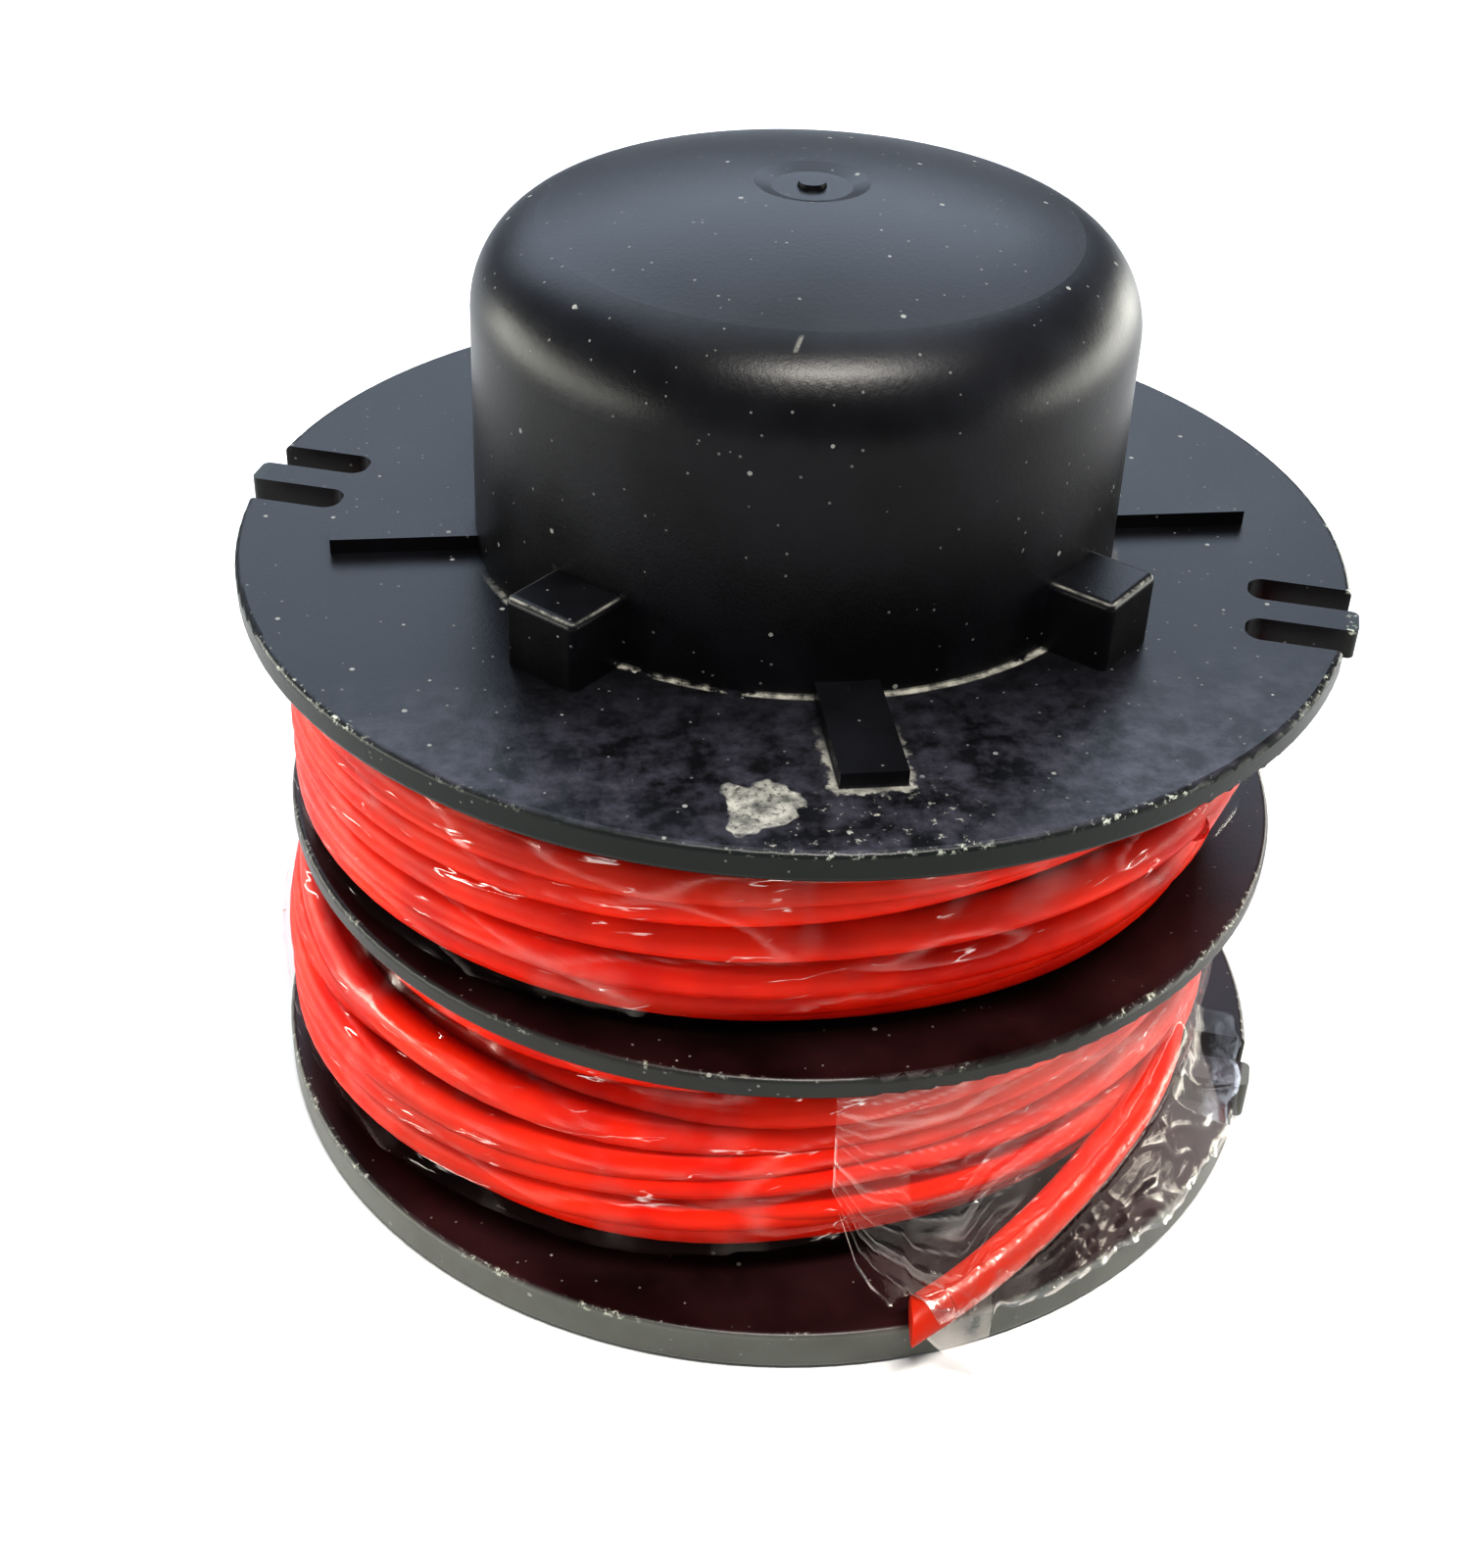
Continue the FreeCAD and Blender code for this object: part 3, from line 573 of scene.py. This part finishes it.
def wind(low, high, limit, steps, neat, seed, bulge, last_level):
    """Centre points (angle, radius, height) of a line wound between two flanges, and its pack.

    The first turns lie neatly side by side. The outer ones cross each other, keep off
    the lower flange and lean down towards the bulging side.
    """
    draw = random.Random(seed)
    pack = Pack(low, high)
    bottom = low + LINE_R + END_GAP
    top = high - LINE_R - END_GAP
    knots = steps // STEPS + 4
    tilt = [draw.uniform(*TILT) * (NEAT_TILT if knot < neat else 1.0) for knot in range(knots)]
    phase = np.cumsum([draw.uniform(*PHASE_STEP) for _ in range(knots)])
    base = []
    direction = 1
    level = bottom
    for knot in range(knots):
        base.append(level)
        floor_level = bottom + FOOT_RISE * outer_share(knot / knots)
        level += direction * (NEAT_PITCH if knot < neat else draw.uniform(*LOOSE_PITCH)) * LINE
        if level > top or level < floor_level:
            direction = -direction
            level = min(max(level, floor_level), top)

    def height_at(step):
        turn = step / STEPS
        share = smoothstep(outer_share(step / steps))
        wave = eased(tilt, turn) * math.sin(2 * math.pi * turn + eased(phase, turn))
        lean = LEAN * share * math.cos(column_angle(step) - LEFT)
        level = min(max(eased(base, turn) + wave - lean, bottom), top)
        end = smoothstep(max(0.0, 1 - (steps - step) / (END_TURNS * STEPS)))
        return level * (1 - end) + last_level * end

    levels = [height_at(step) for step in range(steps + 2 * BRIDGE)]
    supports = {}
    weights = np.exp(-0.5 * (np.arange(-BRIDGE, BRIDGE + 1) / BRIDGE_SPREAD) ** 2)
    weights /= weights.sum()
    path = []
    for step in range(steps):
        for ahead in range(step, step + BRIDGE + 1):
            supports[ahead] = pack.support(ahead, levels[ahead])
        window = [supports.get(step + k, supports[step]) for k in range(-BRIDGE, BRIDGE + 1)]
        centre = max(float(np.dot(weights, window)), supports[step] - SINK)
        angle = column_angle(step)
        swell = bulge * outer_share(step / steps) * left_share(angle) ** 2
        centre = min(centre + swell, limit(angle, levels[step]) - LINE_R)
        pack.lay(step, levels[step], centre)
        path.append((angle, centre, levels[step]))
    return path, pack


POINT_EVERY = 3                 # columns from one control point of a line to the next


def smooth_path(path):
    """Every few points of the path, averaged a little."""
    radii = np.array([p[1] for p in path])
    kernel = np.array([1, 2, 3, 2, 1]) / 9.0
    soft = np.convolve(np.pad(radii, 2, mode="edge"), kernel, mode="valid")
    spacing = 2 * math.pi * POINT_EVERY / STEPS
    fuller = 1 / (0.75 + 0.25 * math.cos(spacing))
    points = []
    for index in range(0, len(path), POINT_EVERY):
        angle, _, level = path[index]
        reach = soft[index] * fuller
        points.append(Vector((reach * math.cos(angle), reach * math.sin(angle), level)))
    return points


def make_curve(name, points, radius, material):
    """Round line on a smooth spline with these control points."""
    data = bpy.data.curves.new(name, "CURVE")
    data.dimensions = "3D"
    data.bevel_depth = radius * MM
    data.bevel_resolution = 5
    data.resolution_u = 4
    data.use_fill_caps = True
    spline = data.splines.new("NURBS")
    spline.points.add(len(points) - 1)
    for target, point in zip(spline.points, points):
        target.co = (*(point * MM), 1.0)
    spline.order_u = 3
    spline.use_endpoint_u = True
    curve = bpy.data.objects.new(name, data)
    curve.data.materials.append(material)
    bpy.context.scene.collection.objects.link(curve)
    return curve


def curve_length(points):
    """Length of the smooth spline through control points, in metres."""
    samples = [points[0]]
    for a, b, c in zip(points, points[1:], points[2:]):
        start, end = (a + b) / 2, (b + c) / 2
        for k in range(1, 5):
            t = k / 4
            samples.append(start * (1 - t) ** 2 + b * 2 * t * (1 - t) + end * t ** 2)
    samples.append(points[-1])
    return sum((b - a).length for a, b in zip(samples, samples[1:])) * MM


def upper_limit(angle, level):
    """Largest radius that the upper line reaches at this side and height."""
    side = left_share(angle)
    foot = UPPER_FOOT[0] + UPPER_FOOT[1] * side
    return min(UPPER_WIDEST[0] + UPPER_WIDEST[1] * side, foot + FLANK * (level - UPPER_LOW.z))


def lower_limit(angle, level):
    """The lower line bulges past the middle flange, but only well below it."""
    side = left_share(angle)
    belly = min(1.0, max(0.0, (BELLY_TOP - level) / BELLY_FADE))
    foot = LOWER_FOOT[0] + LOWER_FOOT[1] * side
    widest = LOWER_WIDEST[0] + side * (LOWER_WIDEST[1] + BELLY * belly)
    return min(widest, foot + FLANK * (level - LOWER_LOW.z))


# ---------------------------------------------------------------- film
FILM_SPAN = 2, 4                # columns and cells over which the film bridges dips
FOOT_DEPTH = 1.3                # how far under its widest the pack still carries the film
WRAP_COLUMNS, WRAP_ROWS = 430, 46
WRAP_GAP = 0.12                 # from the line to the start of the film
LAP_RISE = 0.35                 # how much farther out the end of the film lies
LOOSE_END = 0.55                # lift of its very end
CREASE_RISE, FINE_RISE = 0.30, 0.05


def envelope(pack):
    """Pack surface spread and smoothed the way a tight film bridges it; columns by cells."""
    turns_wide, cells_high = FILM_SPAN
    field = pack.radius.copy()
    spread = field.copy()
    for shift in range(-turns_wide, turns_wide + 1):
        spread = np.maximum(spread, np.roll(field, shift, axis=0))
    tall = spread.copy()
    for shift in range(1, cells_high + 1):
        tall[:, shift:] = np.maximum(tall[:, shift:], spread[:, :-shift])
        tall[:, :-shift] = np.maximum(tall[:, :-shift], spread[:, shift:])
    smooth = tall
    for _ in range(3):
        smooth = (np.roll(smooth, 1, axis=0) + 2 * smooth + np.roll(smooth, -1, axis=0)) / 4
        padded = np.pad(smooth, ((0, 0), (1, 1)), mode="edge")
        smooth = (padded[:, :-2] + 2 * padded[:, 1:-1] + padded[:, 2:]) / 4
    return np.maximum(smooth, field)


def sample_field(field, pack, angle, level):
    """Bilinear value of a column-by-cell field at an angle and height."""
    column = (math.radians(90.0) - angle) / (2 * math.pi) * STEPS
    cell = min(max((level - pack.low) / CELL, 0.0), pack.cells - 1.001)
    first, low = math.floor(column), int(cell)
    across, up = column - first, cell - low
    a, b = field[first % STEPS], field[(first + 1) % STEPS]
    return ((a[low] * (1 - up) + a[low + 1] * up) * (1 - across)
            + (b[low] * (1 - up) + b[low + 1] * up) * across)


def grid_mesh(name, rows, columns, place, fold, material):
    """Open mesh of rows by columns, from each one's point and how sharply it is folded there."""
    cells = [(r, c) for r in range(rows) for c in range(columns)]
    faces = []
    for r in range(rows - 1):
        for c in range(columns - 1):
            corner = r * columns + c
            faces.append((corner, corner + 1, corner + columns + 1, corner + columns))
    mesh = bpy.data.meshes.new(name)
    mesh.from_pydata([place(r, c) * MM for r, c in cells], [], faces)
    mesh.validate()
    for polygon in mesh.polygons:
        polygon.use_smooth = True
    mesh.materials.append(material)
    layer = mesh.attributes.new("fold", "FLOAT", "POINT")
    layer.data.foreach_set("value", [fold(r, c) for r, c in cells])
    piece = bpy.data.objects.new(name, mesh)
    bpy.context.scene.collection.objects.link(piece)
    return piece


def above(value, start):
    """0 up to the start, then rising to 1 when the value is 1."""
    return max(0.0, value - start) / (1 - start)


def polar(reach, angle, level):
    return Vector((reach * math.cos(angle), reach * math.sin(angle), level))


def ridged(x, y, z):
    """Sharp-crested noise from 0 to 1."""
    return 1 - min(1.0, abs(noise.noise(Vector((x, y, z)))) * 2.6)


def make_wrap(name, pack, node, seed, start, overlap):
    """Film wrapped tightly round a pack, with creases, an overlap and a ragged, lifted end."""
    field = envelope(pack)
    high = pack.levels[-1] - CELL / 2
    foot = np.array([pack.levels[np.argmax(row > row.max() - FOOT_DEPTH)] for row in pack.radius])
    for _ in range(4):
        foot = (np.roll(foot, 1) + 2 * foot + np.roll(foot, -1)) / 4
    first = math.radians(start)
    sweep = 2 * math.pi + math.radians(overlap)

    def crease(angle, level):
        east, north = math.cos(angle), math.sin(angle)
        drift = 1.1 * noise.noise(Vector((east * 1.5, north * 1.5, seed)))
        long_fold = ridged(east * 2.6 + seed, north * 2.6, level * 0.30 + drift)
        fine = ridged(east * 11 + seed, north * 11, level * 0.9 + east * 3)
        return long_fold, fine

    def spot(r, c):
        """Angle, height and share of the film's length at a row and column."""
        share = r / (WRAP_ROWS - 1)
        turn = c / (WRAP_COLUMNS - 1)
        ragged = 0.05 * noise.noise(Vector((share * 6, seed, 1.0))) * max(0.0, turn * 12 - 11)
        angle = first - sweep * turn + ragged
        wavy = 0.5 * noise.noise(Vector((math.cos(angle) * 5, math.sin(angle) * 5, seed + share * 9)))
        low = foot[round((math.radians(90.0) - angle) / (2 * math.pi) * STEPS) % STEPS]
        return angle, low + (high - low) * share + wavy * (1 - abs(2 * share - 1)), turn

    def place(r, c):
        angle, level, turn = spot(r, c)
        long_fold, fine = crease(angle, level)
        lift = 0.6 + noise.noise(Vector((level * 0.4, seed, 0)))
        reach = sample_field(field, pack, angle, level) + WRAP_GAP + LAP_RISE * turn
        reach += LOOSE_END * max(0.0, turn * 60 - 59) * lift
        reach += CREASE_RISE * above(long_fold, 0.76) + FINE_RISE * fine
        return polar(reach, angle, level)

    def fold(r, c):
        angle, level, _ = spot(r, c)
        gap = sample_field(field, pack, angle, level) - sample_field(pack.radius, pack, angle, level)
        long_fold, _ = crease(angle, level)
        ends = 0.8 if c in (0, WRAP_COLUMNS - 1) else 0.0
        bridged = min(1.0, max(0.0, gap / 2.2))
        return max(ends, 0.02 * bridged + 0.26 * above(long_fold, 0.82))

    wrap = grid_mesh(name, WRAP_ROWS, WRAP_COLUMNS, place, fold, wrap_film)
    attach(wrap, SPOOL)
    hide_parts(node)
    return field


# ---------------------------------------------------------------- free end and torn film
# Points of the free end, from the pack to the cut tip.
TAIL_ROUTE = [Vector(p) for p in ((29.6, -23.6, 13.6), (25.4, -29.3, 11.2), (20.2, -34.2, 9.2),
                                  (14.6, -38.4, 7.3), (9.2, -41.8, 6.0), (4.6, -44.2, 5.3))]
CUT_SHARE = 0.62                # share of the route's last run that the cut takes up
CUT_START = TAIL_ROUTE[-1].lerp(TAIL_ROUTE[-2], CUT_SHARE)
CUT_FACING = Vector((-0.99, 0.12, -0.03)).normalized()
CUT_EDGE = 0.12                 # width of the worn edge round the cut


def make_tip():
    """Obliquely cut end of the line, from where its curve stops to the sharp corner."""
    run = (TAIL_ROUTE[-1] - TAIL_ROUTE[-2]).normalized()
    side = run.cross(Vector((0, 0, 1))).normalized()
    lift = side.cross(run)
    around, rings = 40, 5
    verts, faces = [], []
    for ring in range(rings):
        for step in range(around):
            turn = 2 * math.pi * step / around
            rim = CUT_START + (side * math.cos(turn) + lift * math.sin(turn)) * LINE_R
            travel = (TAIL_ROUTE[-1] - rim).dot(CUT_FACING) / run.dot(CUT_FACING)
            verts.append((rim + run * travel * ring / (rings - 1)) * MM)
    for ring in range(rings - 1):
        for step in range(around):
            low, nxt = ring * around, (step + 1) % around
            faces.append((low + step, low + nxt, low + around + nxt, low + around + step))
    faces.append(tuple(range((rings - 1) * around, rings * around)))
    faces.append(tuple(reversed(range(around))))
    mesh = bpy.data.meshes.new("line_tip")
    mesh.from_pydata(verts, [], faces)
    mesh.validate()
    for polygon in mesh.polygons:
        polygon.use_smooth = len(polygon.vertices) == 4
    mesh.materials.append(nylon)
    tip = bpy.data.objects.new("line_tip", mesh)
    bpy.context.scene.collection.objects.link(tip)
    trim = tip.modifiers.new("edge", "BEVEL")
    trim.width = CUT_EDGE * MM
    trim.segments = 2
    trim.limit_method = "ANGLE"
    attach(tip, SPOOL)
    return tip


# Lower edge of the torn flap: azimuth in degrees, radius and height.
FLAP_EDGE = [(-92, 38.1, 15.0), (-90, 38.5, 10.5), (-88.5, 39.6, 7.0), (-87, 41.2, 5.6),
             (-84.5, 43.6, 4.8), (-81, 45.4, 2.6), (-78, 46.5, 0.7), (-76, 45.2, 2.4),
             (-74, 44.1, 3.9), (-68, 44.4, 3.9), (-60, 43.9, 3.9), (-50, 44.2, 3.9),
             (-42, 43.6, 3.9), (-32, 43.9, 3.9), (-23, 43.0, 3.9), (-14, 42.4, 3.9)]
FLAP_LEFT, FLAP_RIGHT = FLAP_EDGE[0][0], FLAP_EDGE[-1][0]
FLAP_TOP = (25.7, 22.0, 18.0)   # heights at which the flap still lies over the pack
FLAP_GAP = 0.6                  # from the pack's film to the flap
FLAP_COLUMNS, FLAP_ROWS = 220, 96
TAIL_GAP = 0.3                  # least gap between the flap and the free end
FLANGE_REACH = 43.6             # radius up to which the flap is kept off the bottom flange
FILM_FLOOR = 3.78               # least height there


def along_table(table, value):
    """Linear value of a table whose first entries rise."""
    if value <= table[0][0]:
        return table[0][1:]
    for before, after in zip(table, table[1:]):
        if value <= after[0]:
            share = (value - before[0]) / (after[0] - before[0])
            return tuple(a * (1 - share) + b * share for a, b in zip(before[1:], after[1:]))
    return table[-1][1:]


def rounded_profile(corners, count):
    """Evenly spaced points along a polyline whose corners are cut off three times over."""
    points = [Vector(c) for c in corners]
    for _ in range(3):
        cut = [points[0]]
        for a, b in zip(points, points[1:]):
            cut += [a * 0.75 + b * 0.25, a * 0.25 + b * 0.75]
        points = cut + [points[-1]]
    lengths = [0.0]
    for a, b in zip(points, points[1:]):
        lengths.append(lengths[-1] + (b - a).length)
    even = []
    index = 0
    for k in range(count):
        want = lengths[-1] * k / (count - 1)
        while index < len(points) - 2 and lengths[index + 1] < want:
            index += 1
        span = lengths[index + 1] - lengths[index] or 1.0
        share = (want - lengths[index]) / span
        even.append(points[index].lerp(points[index + 1], min(1.0, share)))
    return even


def make_flap(field, pack):
    """Torn end of the lower film, lying over the free end of the line and the flange."""
    tail_by_angle = sorted((math.degrees(math.atan2(p.y, p.x)), math.hypot(p.x, p.y), p.z)
                           for p in TAIL_ROUTE)
    tail_start, tail_end = tail_by_angle[-1][0], tail_by_angle[0][0]

    def profile(degrees):
        """Radius and height of the film from under the middle flange to its torn edge."""
        angle = math.radians(degrees)
        edge_r, edge_z = along_table(FLAP_EDGE, degrees)

        def pack_reach(level):
            return sample_field(field, pack, angle, level)

        corners = [(pack_reach(level) + FLAP_GAP, level) for level in FLAP_TOP]
        if tail_end < degrees < tail_start + 4:
            tail_r, tail_z = along_table(tail_by_angle, degrees)
            top = tail_z + LINE_R + 0.4
            corners.append(((corners[-1][0] + tail_r) / 2 + 0.4, (FLAP_TOP[-1] + top) / 2 + 1.0))
            corners.append((min(tail_r, edge_r - 0.6), top))
            if tail_r + LINE_R + 0.6 < edge_r:
                corners.append((tail_r + LINE_R + 0.5, max(tail_z - 1.4, 4.4)))
        elif degrees <= tail_end:
            corners.append((corners[-1][0] + 0.3, max(14.0, edge_z + 1.0)))
        else:
            corners.append((pack_reach(12.0) + FLAP_GAP, 12.0))
            foot = max(pack_reach(7.0), pack_reach(5.0))
            corners.append((foot + 0.9, 6.6))
            corners.append((foot + 2.2, 4.3))
        corners.append((edge_r, edge_z))
        return rounded_profile([(r, 0.0, z) for r, z in corners], FLAP_ROWS)

    profiles = []
    for c in range(FLAP_COLUMNS):
        degrees = FLAP_LEFT + (FLAP_RIGHT - FLAP_LEFT) * c / (FLAP_COLUMNS - 1)
        profiles.append((math.radians(degrees), profile(degrees)))

    def wrinkle(r, c):
        """Streaks beside the free end, and broader crumples where the film lies on the flange."""
        share, turn = r / (FLAP_ROWS - 1), c / (FLAP_COLUMNS - 1)
        streak = ridged((share + 0.62 * turn) * 13.0, turn * 2.6 - share, 4.2)
        crumple = ridged(turn * 15.0, share * 7.0, 9.1)
        return streak * (1 - 0.6 * turn), crumple * min(1.0, turn * 1.8) * min(1.0, (1 - turn) * 5)

    def place(r, c):
        angle, points = profiles[c]
        streak, crumple = wrinkle(r, c)
        share = r / (FLAP_ROWS - 1)
        lift = 0.32 * share * above(streak, 0.55) + 0.275 * share * above(crumple, 0.5)
        run = (points[min(r + 1, FLAP_ROWS - 1)] - points[max(r - 1, 0)]).normalized()
        point = points[r] + Vector((-run.z, 0, run.x)) * lift
        ragged = 0.9 * noise.noise(Vector((c * 0.11, 3.0, 0.0))) * max(0.0, share * 6 - 5)
        return clear_of_tail(polar(point.x + ragged, angle, point.z))

    def fold(r, c):
        streak, crumple = wrinkle(r, c)
        share, turn = r / (FLAP_ROWS - 1), c / (FLAP_COLUMNS - 1)
        rim = 0.55 if r >= FLAP_ROWS - 2 or (c == 0 and share > 0.4) else 0.0
        tip = max(0.0, share * 5 - 4) * max(0.0, 1 - abs(turn - 0.16) / 0.07)
        fade = min(1.0, (1 - turn) * 4)
        laid = 0.13 * min(1.0, max(0.0, turn * 2.2 - 0.7)) * share
        bright = 0.15 + 0.55 * max(0.0, 1 - abs(turn - 0.50) / 0.12)
        haze = laid + 0.10 * max(0.0, 1 - share * 1.6) * min(1.0, turn * 3)
        creases = 0.30 * above(streak, 0.66) + 0.30 * bright * above(crumple, 0.78)
        return min(1.0, max(rim, haze + 0.7 * tip + creases)) * fade

    flap = grid_mesh("film_tear", FLAP_ROWS, FLAP_COLUMNS, place, fold, flap_film)
    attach(flap, SPOOL)
    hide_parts("film_flap")


def clear_of_tail(spot):
    """Moves a film point out of the free end of the line and off the flange."""
    for a, b in zip(TAIL_ROUTE, TAIL_ROUTE[1:]):
        run = b - a
        share = min(1.0, max(0.0, (spot - a).dot(run) / run.length_squared))
        away = spot - (a + run * share)
        if away.length < LINE_R + TAIL_GAP:
            away.z = abs(away.z) + 0.05
            spot = a + run * share + away.normalized() * (LINE_R + TAIL_GAP)
    if math.hypot(spot.x, spot.y) < FLANGE_REACH:
        spot.z = max(spot.z, FILM_FLOOR)
    return spot


# ---------------------------------------------------------------- feed spring
def make_coil():
    """The feed spring, copied from its part as a mesh of its own."""
    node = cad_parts["feed_spring"]
    coil = node.copy()
    coil.data = node.data.copy()
    coil.name = "spring_coil"
    bpy.context.scene.collection.objects.link(coil)
    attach(coil, SPOOL)
    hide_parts("feed_spring")
    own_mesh(coil)


# ---------------------------------------------------------------- build
def make_line(name, points, nodes, with_pieces=()):
    """One wound line as a round curve on the spool."""
    line = make_curve(name, points, LINE_R, nylon)
    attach(line, SPOOL)
    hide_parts(*nodes)
    curve_length(points)
    return line


bpy.context.scene.view_settings.view_transform = "Standard"
bpy.context.scene.view_settings.look = "High Contrast"
make_camera()
make_studio()

nylon = red_line()
wrap_film = clear_film("wrap_film", haze_low=0.004, haze_fold=0.30, milk=0.05, spread=0.42)
flap_film = clear_film("flap_film", haze_low=0.05, haze_fold=0.60, milk=0.05, spread=0.33)
steel = metal("spring_steel", (0.42, 0.43, 0.45), (0.22, 0.22, 0.23), 0.26, 0.3)
zinc = metal("zinc_plate", (0.62, 0.63, 0.62), (0.44, 0.46, 0.47), 0.28, 0.2)
FINISHES = {
    "knob_flange": knob_plastic(),
    # The rim colours given to the middle and bottom flanges are painted sheen.
    "middle_flange": flange_plastic("middle_plastic", (0.030, 0.033, 0.030), MIDDLE_RIM, MIDDLE_FACE),
    "bottom_flange": flange_plastic("bottom_plastic", (0.110, 0.117, 0.104), BOTTOM_RIM, BOTTOM_FACE),
    "retaining_ring": steel,
    "bush_clip": steel,
    "feed_spring": steel,
    "thrust_washer": zinc,
    "spring_seat": zinc,
    "spring_cup": grey_nylon(),
    "spindle_bush": metal("bush_bronze", (0.52, 0.34, 0.17), (0.36, 0.22, 0.11), 0.30, 0.3),
}
for node_name, finish in FINISHES.items():
    cad_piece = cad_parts[node_name]
    cad_piece.data.materials.clear()
    cad_piece.data.materials.append(finish)

upper_path, upper_pack = wind(*chamber(UPPER_LOW, UPPER_HIGH), upper_limit, **UPPER_WINDING)
upper_line = make_line("upper_line", smooth_path(upper_path), ["upper_winding"])
lower_path, lower_pack = wind(*chamber(LOWER_LOW, LOWER_HIGH), lower_limit, **LOWER_WINDING)
lower_points = smooth_path(lower_path) + TAIL_ROUTE[:-1] + [CUT_START]
lower_line = make_line("lower_line", lower_points, ["lower_winding", "line_tail"], [make_tip()])
make_wrap("upper_wrap", upper_pack, "upper_film",
          seed=3.0, start=-15.0, overlap=14.0)
lower_field = make_wrap("lower_wrap", lower_pack, "lower_film",
                        seed=8.0, start=100.0, overlap=10.0)
make_flap(lower_field, lower_pack)
make_coil()
